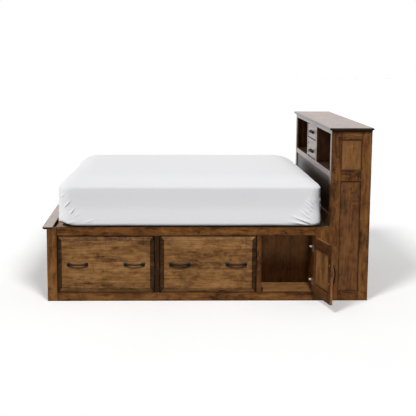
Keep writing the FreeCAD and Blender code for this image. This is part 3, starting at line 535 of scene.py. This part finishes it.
# A dark outline round each door panel: painted shade of its recess
STAINED_DOOR = wood("stained_door", FRONT_TONES, glaze_and_shade=0.02, glaze_and_shade_wide=30 * MM, gloss=0.4)
# The door frames' narrow faces are brightened: a painted highlight
STAINED_LEAF = wood("stained_leaf", PANEL_TONES, edge=1.8, gloss=0.4)
STAINED_HEAD = wood("stained_head", PANEL_TONES, glaze_and_shade=0.86, contrast=1.3, gloss=0.15, shine=0.2)
# Dark outlines round the headboard's end panels: painted shade of their recesses
STAINED_END = wood("stained_end", PANEL_TONES, glaze_and_shade=0.22, glaze_and_shade_wide=11 * MM, gloss=0.3)
# The cap's ends and narrow faces are nearly black: darker end grain and painted shade
STAINED_CAP = wood("stained_cap", PANEL_TONES, edge=0.14, end_shade=0.14, gloss=0.55)
STAINED_SHELF = wood("stained_shelf", FRONT_TONES, rustic=0.4, glaze_and_shade=0.7, roughness=0.5, gloss=0.3)
STAINED_FRONT = wood("stained_front", FRONT_TONES, stave=0.162, border=0.032, glaze_and_shade=0.45, end_shade=0.25,
                     contrast=1.15, gloss=0.15, shine=0.15)
STAINED_INSIDE = wood("stained_inside", INSIDE_TONES, rustic=0.1, glaze_and_shade=0.7, roughness=0.6, gloss=0.05,
                      shine=0.12)
CUBBY_PAINTED_SHADE = wood("cubby_painted_shade", CUBBY_SHADE_TONES, rustic=0.4, glaze_and_shade=0.7, roughness=0.5, gloss=0.3)
# The cove under the cap is nearly black: painted shade under the cap's overhang
MOULDING_PAINTED_SHADE = wood("moulding_painted_shade", PAINTED_SHADE_TONES)
MAPLE = wood("drawer_maple", MAPLE_TONES, rustic=0.25, glaze_and_shade=0.85, roughness=0.5, gloss=0.0)
PLYWOOD = wood("deck_plywood", PLY_TONES, rustic=0.3, glaze_and_shade=0.85, roughness=0.62, gloss=0.0, shine=0.05,
               plies=2.4 * MM)
RAW_WOOD = wood("raw_wood", MAPLE_TONES, rustic=0.6, glaze_and_shade=0.9, roughness=0.6, gloss=0.0)
IRON = metal("black_iron", (0.0065, 0.0065, 0.0068), 0.30, 0.44, 0.35, 0.7 * MM)
STEEL = metal("zinc_steel", (0.50, 0.51, 0.52), 1.0, 0.36, 0.10, 1.4 * MM)
NICKEL = metal("nickel", (0.80, 0.74, 0.64), 0.55, 0.38, 0.06, 0.9 * MM)
DULL_NICKEL = metal("dull_nickel", (0.27, 0.25, 0.22), 0.6, 0.45, 0.06, 0.9 * MM)
PLASTIC = plastic("catch_plastic", (0.022, 0.016, 0.012), 0.5)
SHEET_COTTON = cotton("sheet_cotton")


# Hardware


def ring_faces(levels, count):
    """The faces between closed rings of equal length, whose points are numbered ring by ring."""
    faces = []
    for level in range(levels - 1):
        a, b = level * count, (level + 1) * count
        for step in range(count):
            after = (step + 1) % count
            faces.append((a + step, a + after, b + after, b + step))
    return faces


def lathe(profile, sides):
    """Points and faces of a profile of (out, radius) pairs spun about +X, closed at both ends."""
    turns = [math.tau * step / sides for step in range(sides)]
    return loft([[Vector((out, radius * math.cos(turn), radius * math.sin(turn))) for turn in turns]
                 for out, radius in profile])


def loft(rings):
    """Points and faces through closed rings of equal length, closed at both ends."""
    count = len(rings[0])
    points = [point for ring in rings for point in ring]
    faces = ring_faces(len(rings), count)
    faces.append(tuple(reversed(range(count))))
    faces.append(tuple(range(len(points) - count, len(points))))
    return points, faces


def rounded_square(wide, high, power=5.0, count=24):
    """A closed ring in its own plane, between a circle and a square."""
    ring = []
    for step in range(count):
        angle = math.tau * (step + 0.5) / count
        c, s = math.cos(angle), math.sin(angle)
        reach = (abs(c) ** power + abs(s) ** power) ** (-1 / power)
        ring.append((wide / 2 * reach * c, high / 2 * reach * s))
    return ring


def merged(shapes):
    """Points and faces of several shapes in one list."""
    points, faces = [], []
    for more_points, more_faces in shapes:
        start = len(points)
        points += more_points
        faces += [[start + index for index in face] for face in more_faces]
    return points, faces


def moved(shape, matrix):
    """A shape under a matrix."""
    points, faces = shape
    return [matrix @ point for point in points], faces


def axes(origin, x, y, z):
    """The matrix that carries the unit axes to three directions at an origin."""
    turn = Matrix((x, y, z)).transposed().to_4x4()
    return Matrix.Translation(origin) @ turn


# Flare of a pull's foot: distance out as a share of the foot, width as a share of its base
FOOT_SHARES = ((0.0, 1.0), (0.10, 1.0), (0.16, 0.94), (0.26, 0.80), (0.40, 0.70), (0.62, 0.66), (0.86, 0.66),
               (0.97, 0.60), (1.02, 0.44))
PULL_FOOT = 28 * MM
PULL_FOOT_OUT = 15 * MM
PULL_BAR_THICK = 8 * MM
PULL_BAR_END = 15 * MM
PULL_BAR_MIDDLE = 11 * MM
PULL_STEPS = 28


def pull_shape(length, out):
    """An arched pull along X, out along Y: flared square feet and a bowed bar that thins to its middle."""
    span = length - PULL_FOOT
    seat = PULL_FOOT_OUT - PULL_BAR_THICK / 2
    bow = out - PULL_FOOT_OUT
    shapes = []
    for side in (-1, 1):
        rings = []
        for reach, share in FOOT_SHARES:
            ring = rounded_square(PULL_FOOT * share, PULL_FOOT * share, 7.0)
            rings.append([Vector((side * span / 2 + a, reach * PULL_FOOT_OUT, b)) for b, a in ring])
        shapes.append(loft(rings))
    rings = []
    for step in range(PULL_STEPS + 1):
        share = 2 * step / PULL_STEPS - 1
        middle = Vector((share * span / 2, seat + bow * (1 - share * share), 0))
        tangent = Vector((span / 2, -2 * bow * share, 0)).normalized()
        normal = Vector((-tangent.y, tangent.x, 0))
        high = PULL_BAR_MIDDLE + (PULL_BAR_END - PULL_BAR_MIDDLE) * abs(share) ** 1.5
        ring = rounded_square(PULL_BAR_THICK, high, 3.4)
        rings.append([middle + normal * a + Z * b for a, b in ring])
    shapes.append(loft(rings))
    return merged(shapes)


SCREW_SIDES = 24
# A pan head: distance out as a share of its height, radius as a share of its own
PAN_SHARES = ((0.0, 1.0), (0.35, 1.0), (0.65, 0.92), (0.88, 0.72), (1.0, 0.46))
RECESS_SHARE = 0.55


def screw_head(radius, high):
    """A pan head along +X with a cross recess in its top."""
    points, faces = lathe([(share * high, radius * reach) for share, reach in PAN_SHARES], SCREW_SIDES)
    faces.pop()
    arm, deep, top = 0.13 * radius, high * (1 - RECESS_SHARE), high
    long = 0.40 * radius
    cross = [(arm, long), (arm, arm), (long, arm), (long, -arm), (arm, -arm), (arm, -long), (-arm, -long),
             (-arm, -arm), (-long, -arm), (-long, arm), (-arm, arm), (-arm, long)]
    start = len(points)
    points += [Vector((top, a, b)) for a, b in cross]
    points += [Vector((deep, a * 0.7, b * 0.7)) for a, b in cross]
    count = len(cross)
    for step in range(count):
        after = (step + 1) % count
        faces.append((start + step, start + after, start + count + after, start + count + step))
    faces.append(tuple(range(start + count, start + 2 * count)))
    shape = bmesh.new()
    verts = [shape.verts.new(p) for p in points]
    for face in faces:
        shape.faces.new([verts[index] for index in face])
    edges = [edge for edge in shape.edges if edge.is_boundary and edge.verts[0].co.x > 0.9 * top]
    bmesh.ops.triangle_fill(shape, use_beauty=True, edges=edges)
    bmesh.ops.recalc_face_normals(shape, faces=shape.faces)
    shape.verts.index_update()
    result = [v.co.copy() for v in shape.verts], [[v.index for v in face.verts] for face in shape.faces]
    shape.free()
    return result


def hardware_pair(node):
    """The large castings and the screws of a node of pulls."""
    parts = sorted(solids(node), key=lambda solid: -(solid.high - solid.low).length)
    screws = [solid for solid in parts if min(solid.high - solid.low) < 10 * MM]
    return [solid for solid in parts if solid not in screws], screws


def screws_piece(node, screws, inward):
    """The heads of a node's screws, with their tops facing inward."""
    shapes = []
    depth = next(axis for axis in range(3) if abs(inward[axis]) > 0.5)
    for solid in screws:
        radius = min(solid.high - solid.low) / 2
        place = (solid.low + solid.high) / 2
        place[depth] = solid.high[depth] if inward[depth] > 0 else solid.low[depth]
        high = 2.5 * MM
        side = inward.orthogonal()
        matrix = axes(place - inward * high, inward, side, inward.cross(side))
        shapes.append(moved(screw_head(radius, high), matrix))
    item = new_object(f"{node}.screws", *merged(shapes), STEEL)
    weighted_normals(item)
    settle(item, BODY_OF[node], "slide_steel")


def pulls(node, outward):
    """Arched pulls and their screws in place of a node's castings."""
    castings, screws = hardware_pair(node)
    depth = max(range(3), key=lambda axis: abs(outward[axis]))
    shapes = []
    for solid in castings:
        size = solid.high - solid.low
        along = max((axis for axis in range(3) if axis != depth), key=lambda axis: size[axis])
        heading = (X, Y, Z)[along]
        origin = (solid.low + solid.high) / 2
        origin[depth] = solid.low[depth] if outward[depth] > 0 else solid.high[depth]
        matrix = axes(origin, heading, outward, heading.cross(outward))
        shapes.append(moved(pull_shape(size[along], size[depth]), matrix))
    item = new_object(f"{node}.finished", *merged(shapes), IRON)
    weighted_normals(item)
    settle(item, BODY_OF[node], SLOT_OF[node], node)
    screws_piece(node, screws, -outward)


# Profile of the cove under the cap: rise as a share of its height, reach as a share of its overhang
COVE_SHARES = ((0.0, 0.06), (0.10, 0.10), (0.14, 0.20), (0.36, 0.24), (0.56, 0.34),
               (0.72, 0.50), (0.84, 0.72), (0.88, 0.94), (1.0, 1.0))


def cap_moulding():
    """A cove on three sides of the headboard, mitred at its corners."""
    low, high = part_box("cap_moulding")
    body_low, body_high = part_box("headboard_end_frames")
    over = body_low.x - low.x
    rings = []
    for rise, reach in COVE_SHARES:
        out, z = over * reach, low.z + rise * (high.z - low.z)
        x0, x1 = body_low.x - out, high.x
        y0, y1 = body_low.y - out, body_high.y + out
        rings.append([Vector((x0, y0, z)), Vector((x1, y0, z)), Vector((x1, y1, z)), Vector((x0, y1, z))])
    # Its wood is nearly black: painted shade under the cap
    item = new_object("cap_moulding.finished", *loft(rings), MOULDING_PAINTED_SHADE, smooth=False)
    middle, half = (low + high) / 2, (high - low) / 2
    offsets = [vertex.co - middle for vertex in item.data.vertices]
    set_layer(item, "grain", [(offset.y, offset.x, offset.z) for offset in offsets])
    set_layer(item, "half", [(half.y, half.x, half.z)] * len(offsets))
    settle(item, "frame", SLOT_OF["cap_moulding"], "cap_moulding")


# Bedding


HEM_TUCK = 85 * MM
HEM_LIFT = 1.5 * MM
HEM_WAVE = 3 * MM
EDGE_LIFT = 7 * MM
BOTTOM_ROUND = 26 * MM
TOP_ROUND = 13 * MM
SIDE_DRAW = 5 * MM
SIDE_BULGE = 12 * MM
BULGE_LOW, BULGE_TOP = 0.02, 0.16
SWELL = 1.6 * MM
PLAN_CORNER, LEAST_CORNER = 92 * MM, 40 * MM
# By the corners the edge between side and top is rounder, and the lower edge lifts
CORNER_ROUND = {"foot": 30 * MM, "head": 15 * MM}
ROUND_REACH = 0.10
CORNER_LIFT = {"foot": 30 * MM, "head": 3 * MM}
CORNER_REACH = 70 * MM
# Height of the top's crown, how far from each edge it is full, and how it rises
CROWN = 69 * MM
CROWN_REACH = {"side": 0.283, "foot": 0.20, "head": 0.22}
CROWN_POWER = 2.3
CROWN_MEET = 2.5
# How far the ends draw in at the deck and at the top, and the share of the side where that starts
END_DRAW = {"foot": (0 * MM, 4 * MM, 0.75), "head": (10 * MM, 16 * MM, 0.0)}
# The foot end lies a little askew: how much further in it is past its middle
FOOT_SKEW = 40 * MM
SKEW_REACH = 0.7
# Columns stand close by the corners, where the sheet folds, and far apart elsewhere
FOLD_REACH = 0.32
FINE, COARSE = 4.5 * MM, 22 * MM
HEM_STEPS, ROUND_STEPS, SIDE_STEPS, TOP_STEPS = 5, 9, 64, 30
TOP_LEVEL = HEM_STEPS + ROUND_STEPS + SIDE_STEPS
TOP_MARGIN = 40 * MM


def bed_profile(top_round):
    """(inset, height) pairs from the hem under the mattress up its side and in to the middle of its top."""
    low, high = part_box("mattress")
    floor, side_top, top = low.z + HEM_LIFT, high.z - CROWN, high.y - TOP_MARGIN
    profile = []
    for step in range(HEM_STEPS):
        share = step / HEM_STEPS
        profile.append((HEM_TUCK + (BOTTOM_ROUND - HEM_TUCK) * share, floor + EDGE_LIFT * share))
    edge = floor + EDGE_LIFT
    for step in range(ROUND_STEPS):
        angle = math.pi / 2 * step / ROUND_STEPS
        profile.append((BOTTOM_ROUND * (1 - math.sin(angle)), edge + BOTTOM_ROUND * (1 - math.cos(angle))))
    start, end = edge + BOTTOM_ROUND, side_top - top_round
    for step in range(SIDE_STEPS):
        share = step / SIDE_STEPS
        profile.append((SIDE_DRAW * math.sin(math.pi * share) ** 2, start + share * (end - start)))
    for step in range(ROUND_STEPS):
        angle = math.pi / 2 * step / ROUND_STEPS
        profile.append((top_round * (1 - math.cos(angle)), end + top_round * math.sin(angle)))
    for step in range(TOP_STEPS + 1):
        share = (step / TOP_STEPS) ** 1.6
        profile.append((top_round + (top - top_round) * share, side_top))
    return profile


def smoothstep(low, high, value):
    """0 below low, 1 above high, and a smooth rise between."""
    share = min(1.0, max(0.0, (value - low) / (high - low)))
    return share * share * (3 - 2 * share)


def crown(side_gap, end_gap, end):
    """Rise of the mattress's top at its distances from a long side and an end."""
    lacking = 0.0
    for gap, reach in ((side_gap, CROWN_REACH["side"]), (end_gap, CROWN_REACH[end])):
        lacking += max(0.0, 1 - max(0.0, gap) / reach) ** (CROWN_POWER * CROWN_MEET)
    return CROWN * max(0.0, 1 - lacking ** (1 / CROWN_MEET))


Fold = namedtuple("Fold", "along up angle length width height")
# Folds by the lower corners in mm: from the corner, above the deck, degrees up, length, width, height
CORNER_FOLDS = {
    "head": ((80, 28, 21, 195, 12, 17.0), (95, 14, 12, 200, 8, 11.0), (84, 56, 36, 150, 10, 10.0),
             (98, 94, 42, 100, 9, 9.0), (72, 114, 44, 114, 9, 10.0), (66, 138, 47, 108, 9, 9.4),
             (66, 170, 54, 90, 9, 7.6), (40, 188, 47, 60, 8, 5.6), (14, 252, 66, 48, 6, 4.6),
             (150, 22, 8, 150, 8, 4.4)),
    "foot": ((46, 146, 46, 96, 9, 7.5), (90, 98, 48, 84, 9, 7.5), (28, 226, 45, 54, 8, 5.6),
             (28, 266, 40, 32, 7, 4.6), (130, 78, 37, 74, 9, 4.4), (200, 34, 18, 100, 9, 5.0),
             (60, 26, 14, 120, 9, 4.4)),
}
END_FOLD_SHARE = 0.8
# A fold is steeper on its lower flank
LOWER_FLANK = 0.55


def corner_folds(end):
    """The folds at one end's corners, in metres."""
    folds = []
    for along, up, angle, length, width, height in CORNER_FOLDS[end]:
        folds.append(Fold(along * MM, up * MM, math.radians(angle), length * MM, width * MM, height * MM))
    return folds


def fold_height(fold, along, up):
    """How far a fold lifts a point at a distance along its face and a height up it."""
    along, up = along - fold.along, up - fold.up
    c, s = math.cos(fold.angle), math.sin(fold.angle)
    ahead, off = along * c + up * s, (up * c - along * s) / fold.width
    if off < 0:
        off /= LOWER_FLANK
    if not 0 < ahead < fold.length or abs(off) > 3:
        return 0.0
    taper = smoothstep(0, 0.25, ahead / fold.length) * (1 - smoothstep(0.45, 1, ahead / fold.length))
    return fold.height * taper * (1 - 0.6 * off * off) * math.exp(-off * off)


def column_shares(length, fine):
    """Places of the columns along a straight side, as shares of it."""
    by_corner = [FOLD_REACH * step / round(FOLD_REACH / fine) for step in range(round(FOLD_REACH / fine))]
    between = length - 2 * FOLD_REACH
    steps = round(between / COARSE)
    middle = [FOLD_REACH + between * step / steps for step in range(steps)]
    last = [length - FOLD_REACH + place for place in by_corner]
    return [place / length for place in by_corner + middle + last]


def plan_ring(half_long, half_wide, radius, fine):
    """(place, normal) pairs round a rectangle with round corners, the same count for any size."""
    low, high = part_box("mattress")
    per_turn = round(PLAN_CORNER * math.pi / 2 / fine)
    across = column_shares(high.y - low.y - 2 * PLAN_CORNER, 2 * fine)
    straights = across, column_shares(high.x - low.x - 2 * PLAN_CORNER, fine)
    ring = []
    corners = ((1, -1), (1, 1), (-1, 1), (-1, -1))
    for quarter, (sx, sy) in enumerate(corners):
        centre = Vector((sx * (half_long - radius), sy * (half_wide - radius)))
        first = math.pi / 2 * (quarter - 1)
        for step in range(per_turn):
            angle = first + math.pi / 2 * step / per_turn
            normal = Vector((math.cos(angle), math.sin(angle)))
            ring.append((centre + normal * radius, normal))
        nx, ny = corners[(quarter + 1) % 4]
        after = Vector((nx * (half_long - radius), ny * (half_wide - radius)))
        angle = first + math.pi / 2
        normal = Vector((math.cos(angle), math.sin(angle)))
        ring += [(centre.lerp(after, share) + normal * radius, normal) for share in straights[quarter % 2]]
    return ring


def end_draws(rise, side_high):
    """How far in the foot and the head end are at a height."""
    draws = []
    for deck, top, start in (END_DRAW["foot"], END_DRAW["head"]):
        draws.append(deck + (top - deck) * smoothstep(start * side_high, side_high, rise))
    return draws


def sheet_lift(folds, end, normal, gaps, rise):
    """How far the folds of the sheet lift a point off the mattress."""
    on_side = abs(normal.y) > abs(normal.x)
    along = gaps[0] if on_side else gaps[1]
    if along > FOLD_REACH:
        return 0.0
    share = 1.0 if on_side else END_FOLD_SHARE
    return share * sum(fold_height(fold, along, rise) for fold in folds[end])


def bedding(name, material, shrink, fine, folds=None):
    """The sheet, or the mattress inside it, as rings from its lower edge to the middle of its top."""
    low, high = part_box("mattress")
    middle = (low + high) / 2
    half_long, half_wide = (high.x - low.x) / 2 - shrink, (high.y - low.y) / 2 - shrink
    side_top = high.z - CROWN
    profile = bed_profile(TOP_ROUND)
    soft_profiles = {end: bed_profile(radius) for end, radius in CORNER_ROUND.items()}
    points, cloth = [], []
    for level, (inset, height) in enumerate(profile):
        rise, on_top = height - low.z, level >= TOP_LEVEL
        foot_draw, head_draw = end_draws(rise, side_top - low.z)
        rim_long = half_long - (foot_draw + head_draw) / 2
        bulge = SIDE_BULGE * (1 - smoothstep(BULGE_LOW, BULGE_TOP, rise))
        bulge *= smoothstep(HEM_TUCK, BOTTOM_ROUND, inset)
        corner = PLAN_CORNER * (1 - inset / half_wide) if on_top else max(PLAN_CORNER - inset, LEAST_CORNER)
        ring = plan_ring(rim_long - inset, half_wide - inset + bulge, corner, fine)
        for place, normal in ring:
            end = "foot" if place.x < 0 else "head"
            soft_inset, soft_height = soft_profiles[end][level]
            soft = math.exp(-((rim_long - abs(place.x)) / ROUND_REACH) ** 2) * normal.y ** 2
            x, y = place - normal * (soft_inset - inset) * soft
            z = height + (soft_height - height) * soft
            gaps = rim_long - abs(x), half_wide - abs(y)
            lift = 0.0
            if on_top:
                z += crown(gaps[1], gaps[0], end) - shrink
            elif rise < 0.12:
                fade = 1 - smoothstep(0.0, 0.12, rise)
                wave = max(0.0, noise.noise(Vector((x * 4.0, y * 4.0, 0.3))))
                reach = math.hypot(gaps[0] - inset, gaps[1] - inset) / CORNER_REACH
                z += fade * (CORNER_LIFT[end] * math.exp(-reach * reach) + HEM_WAVE * wave)
            if folds and rise > BOTTOM_ROUND * 0.6:
                lift = sheet_lift(folds, end, normal, gaps, z - low.z)
                swell = SWELL * noise.noise(Vector((x * 3.1, y * 3.1, height * 5.0)))
                lift += swell * (0.4 if on_top and inset > TOP_ROUND else 1.0)
            side_share = max(0.0, 1 - inset / TOP_ROUND) if on_top else 1.0
            askew = FOOT_SKEW * smoothstep(-half_wide, 0.5 * half_wide, y)
            askew *= smoothstep(SKEW_REACH, 0.0, rim_long + x)
            points.append(Vector((middle.x + (foot_draw - head_draw) / 2 + x + askew + normal.x * lift * side_share,
                                  middle.y + y + normal.y * lift * side_share, z + lift * (1 - side_share))))
            drop = max(0.0, side_top - height)
            cloth.append((x + normal.x * drop, y + normal.y * drop, 0.0))
    count = len(points) // len(profile)
    faces = ring_faces(len(profile), count)
    faces.append(tuple(range(len(points) - count, len(points))))
    if not folds:
        faces.append(tuple(reversed(range(count))))
    item = new_object(name, points, faces, material)
    set_layer(item, "cloth", cloth)
    return item


CORE_GAP = 7 * MM


def make_bed():
    """Mattress and fitted sheet in place of the plain mattress."""
    folds = {end: corner_folds(end) for end in CORNER_FOLDS}
    sheet = bedding("fitted_sheet", SHEET_COTTON, 0.0, FINE, folds)
    settle(sheet, "mattress", "bed_linen", "mattress")
    core = bedding("mattress_core", SHEET_COTTON, CORE_GAP, COARSE)
    settle(core, "mattress", "bed_linen", "mattress")


# Studio


WHITE = 1.0
# The white surround: how it lights and how it is mirrored, in front of the bed and behind it
DOME_LIGHT = (0.11, 0.42)
DOME_GLOSS = (0.06, 1.0)
FLOOR_BOUNCE = 0.48
FLOOR_GLOSS = (0.12, 0.95)
FLOOR_TONES = ((1.12, 1.12, 1.12), (1.15, 1.15, 1.15))
FLOOR_REACH = 60.0
# Soft lights: heading over the floor, degrees above it, strength, and degrees across
LIGHTS = {
    "left_light": ((0.60, 0.80), 42, 0.45, 16),
    "right_light": ((-0.37, 0.93), 37, 0.60, 16),
    "front_light": ((0.04, 1.00), 53, 2.50, 5),
    "sheet_light": ((0.50, 0.87), 42, 2.72, 14),
    "door_light": ((0.80, 0.60), 35, 2.05, 14),
    "deck_light": ((0.95, 0.31), 50, 3.20, 10),
    "low_light": ((0.05, 1.00), -33, 0.72, 20),
    "shelf_light": ((0.04, 1.00), 25, 0.50, 10),
    "left_floor_light": ((0.60, 0.80), 42, 1.44, 14),
    "right_floor_light": ((-0.37, 0.93), 37, 1.86, 16),
    "top_light": ((0.02, 0.30), 80, 0.10, 60),
}
# Lights of one small piece each are points, far enough off to shine evenly
POINTS = ("door_light", "deck_light", "shelf_light")
POINT_DISTANCE = 300.0
# Pieces that a light is kept off, the only pieces that a light fills, and pieces that it passes through
CUPBOARD = ["cupboard_backs.finished", "case_sides.finished"]
BACKS = ["cupboard_backs.finished", "headboard_front_panel.finished", "deck_panels.finished", "floor"]
SHADED = {"left_light": BACKS, "right_light": BACKS + ["fitted_sheet"],
          "front_light": BACKS + ["fitted_sheet"]}
FILLED = {"sheet_light": ["fitted_sheet"], "door_light": ["near_door_panel.finished"], "low_light": CUPBOARD,
          "deck_light": ["deck_panels.finished"], "shelf_light": ["cupboard_floors.finished"],
          "left_floor_light": ["floor"], "right_floor_light": ["floor"]}
PASSED = {"low_light": ["floor"],
          "right_floor_light": ["near_door_frame.finished", "near_door_panel.finished"]}
LIGHT_LINKS = (("receiver_collection", SHADED, "EXCLUDE"), ("receiver_collection", FILLED, "INCLUDE"),
               ("blocker_collection", PASSED, "EXCLUDE"))


def surround():
    """A white world that lights less than it shows, and mirrors a dark room in front of the bed."""
    world = bpy.data.worlds.new("surround")
    bpy.context.scene.world = world
    world.use_nodes = True
    nodes, links = world.node_tree.nodes, world.node_tree.links
    rays = nodes.new("ShaderNodeLightPath")
    heading = nodes.new("ShaderNodeSeparateXYZ")
    links.new(nodes.new("ShaderNodeTexCoord").outputs["Generated"], heading.inputs[0])
    level = None
    for ray, (front, behind), start, end in (("Is Glossy Ray", DOME_GLOSS, -0.45, 0.15),
                                             ("Is Diffuse Ray", DOME_LIGHT, -0.1, 0.8)):
        grade = nodes.new("ShaderNodeMapRange")
        grade.interpolation_type = "SMOOTHSTEP"
        for socket, value in (("From Min", start), ("From Max", end), ("To Min", front), ("To Max", behind)):
            grade.inputs[socket].default_value = value
        links.new(heading.outputs["Y"], grade.inputs["Value"])
        choice = nodes.new("ShaderNodeMix")
        links.new(rays.outputs[ray], choice.inputs[0])
        choice.inputs[2].default_value = WHITE
        if level:
            links.new(level, choice.inputs[2])
        links.new(grade.outputs[0], choice.inputs[3])
        level = choice.outputs[0]
    background = nodes["Background"]
    background.inputs["Color"].default_value = (1, 1, 1, 1)
    links.new(level, background.inputs["Strength"])


def link_light(lamp, role, pieces, state):
    """Leave some pieces out of what a light fills or what blocks it, or let it fill only them."""
    group = bpy.data.collections.new(f"{lamp.name}_{role}")
    for piece in pieces:
        group.objects.link(bpy.data.objects[piece])
    for entry in group.collection_objects:
        entry.light_linking.link_state = state
    setattr(lamp.light_linking, role, group)


def make_lamp(name, heading, strength, spread):
    """A distant light, or a point of light far away where it fills one small piece."""
    pointed = name in POINTS
    lamp = bpy.data.lights.new(name, "POINT" if pointed else "SUN")
    item = bpy.data.objects.new(name, lamp)
    if pointed:
        lamp.energy = strength * 4 * math.pi * POINT_DISTANCE ** 2
        lamp.shadow_soft_size = POINT_DISTANCE * math.tan(spread / 2)
        item.location = -heading * POINT_DISTANCE
    else:
        lamp.energy = strength
        lamp.angle = spread
        item.rotation_euler = heading.to_track_quat("-Z", "Y").to_euler()
    return item


def studio():
    """Pale floor, white surround, soft lights from the front and the photograph's camera."""
    scene = bpy.context.scene
    scene.view_settings.view_transform = "Standard"
    surround()
    tree = Tree("pale_floor")
    spot = tree.add("ShaderNodeTexCoord", {}).outputs["Object"]
    tone = tree.ramp(tree.noise(spot, (0.7,) * 3, 3.0), ((0.3, FLOOR_TONES[0]), (0.7, FLOOR_TONES[1])))
    rays = tree.add("ShaderNodeLightPath", {}).outputs
    mirrored = tree.span(tree.split(spot)[1], -1.0, 2.0, *FLOOR_GLOSS)
    change = tree.math("SUBTRACT", mirrored, FLOOR_BOUNCE)
    level = tree.math("MULTIPLY_ADD", rays["Is Glossy Ray"], change, FLOOR_BOUNCE)
    tone = tree.blend(rays["Is Camera Ray"], tree.joined(level, level, level), tone)
    tree.surface(Base_Color=tone, Roughness=0.9, Specular_IOR_Level=0.0)
    floor = new_object("floor", [Vector((x * FLOOR_REACH, y * FLOOR_REACH, -0.5 * MM)) for x, y in
                                 ((-1, -1), (1, -1), (1, 1), (-1, 1))], [(0, 1, 2, 3)], tree.material)
    for name, (toward, rise, strength, spread) in LIGHTS.items():
        flat = Vector((*toward, 0)).normalized() * math.cos(math.radians(rise))
        heading = flat - Z * math.sin(math.radians(rise))
        item = make_lamp(name, heading, strength, math.radians(spread))
        for role, linked, state in LIGHT_LINKS:
            if name in linked:
                link_light(item, role, linked[name], state)
        scene.collection.objects.link(item)
    view = bpy.data.cameras.new("camera")
    view.sensor_width = SENSOR
    view.lens = FOCAL_PIXELS / PHOTO_PIXELS * SENSOR
    view.shift_x = 0.5 - CENTRE_PIXEL_X / PHOTO_PIXELS
    camera = bpy.data.objects.new("camera", view)
    camera.location = CAMERA_PLACE
    turn = Matrix.Rotation(-CAMERA_YAW, 3, "Z") @ Matrix.Rotation(math.pi / 2 - CAMERA_PITCH, 3, "X")
    camera.rotation_euler = (turn @ Matrix.Rotation(CAMERA_ROLL, 3, "Z")).to_euler()
    scene.collection.objects.link(camera)
    scene.camera = camera


# The bed, piece by piece


FRAME_BOARDS = ["side_bottom_rails", "foot_corner_stiles", "mid_stiles", "foot_frame"]
BRIGHT_BOARDS = ["foot_cap", "headboard_front_frame"]
INSIDE_BOARDS = ["case_sides", "cupboard_backs"]
CUBBY_BOARDS = ["headboard_back", "headboard_shelf"]
RAW_BOARDS = ["head_cross_board", "centre_support", "small_drawer_runners"]

for node_name in FRAME_BOARDS:
    dress(node_name, STAINED_FRAME)
for node_name in BRIGHT_BOARDS:
    dress(node_name, STAINED_BRIGHT)
for node_name in INSIDE_BOARDS:
    dress(node_name, STAINED_INSIDE)
# Boards inside the cubbies get the darker stain: painted shade
for node_name in CUBBY_BOARDS:
    dress(node_name, CUBBY_PAINTED_SHADE)
for node_name in RAW_BOARDS:
    dress(node_name, RAW_WOOD)
dress("side_top_rails", STAINED_RAIL)
dress("headboard_end_frames", STAINED_HEAD)
dress("headboard_end_panels", STAINED_END)
# Nearly black wood on the headboard's front panel: painted shade
dress("headboard_front_panel", BACKDROP_PAINTED_SHADE)
dress("head_stiles", STAINED_HEAD)
dress("foot_panels", STAINED_PANEL)
dress("headboard_cap", STAINED_CAP)
dress("cupboard_floors", STAINED_SHELF)
# The drawer column's walls set back in the cubbies get the darker stain: painted shade
dress("drawer_column", STAINED_BRIGHT, behind=CUBBY_PAINTED_SHADE)
for node_name in ("deck_panels", "case_backs"):
    dress(node_name, PLYWOOD)
for drawer in LARGE_DRAWERS:
    dress(f"{drawer}_front", STAINED_FRONT)
    dress(f"{drawer}_box", MAPLE)
    dress(f"{drawer}_slides", STEEL, METAL_EASE)
    pulls(f"{drawer}_pulls", -Y if drawer.startswith("near") else Y)
for drawer in SMALL_DRAWERS:
    dress(f"{drawer}_front", STAINED_PANEL)
    dress(f"{drawer}_box", MAPLE)
    pulls(f"{drawer}_pull", -X)
for leaf in DOORS:
    dress(f"{leaf}_frame", STAINED_LEAF)
    dress(f"{leaf}_panel", STAINED_DOOR)
    dress(f"{leaf}_hinges", DULL_NICKEL, METAL_EASE)
    pulls(f"{leaf}_pull", -Y if leaf.startswith("near") else Y)
for node_name in ("drawer_channels", "headboard_bolts"):
    dress(node_name, STEEL, METAL_EASE)
dress("hinge_plates", NICKEL, METAL_EASE)
dress("magnetic_catches", PLASTIC, METAL_EASE)
cap_moulding()
make_bed()
studio()
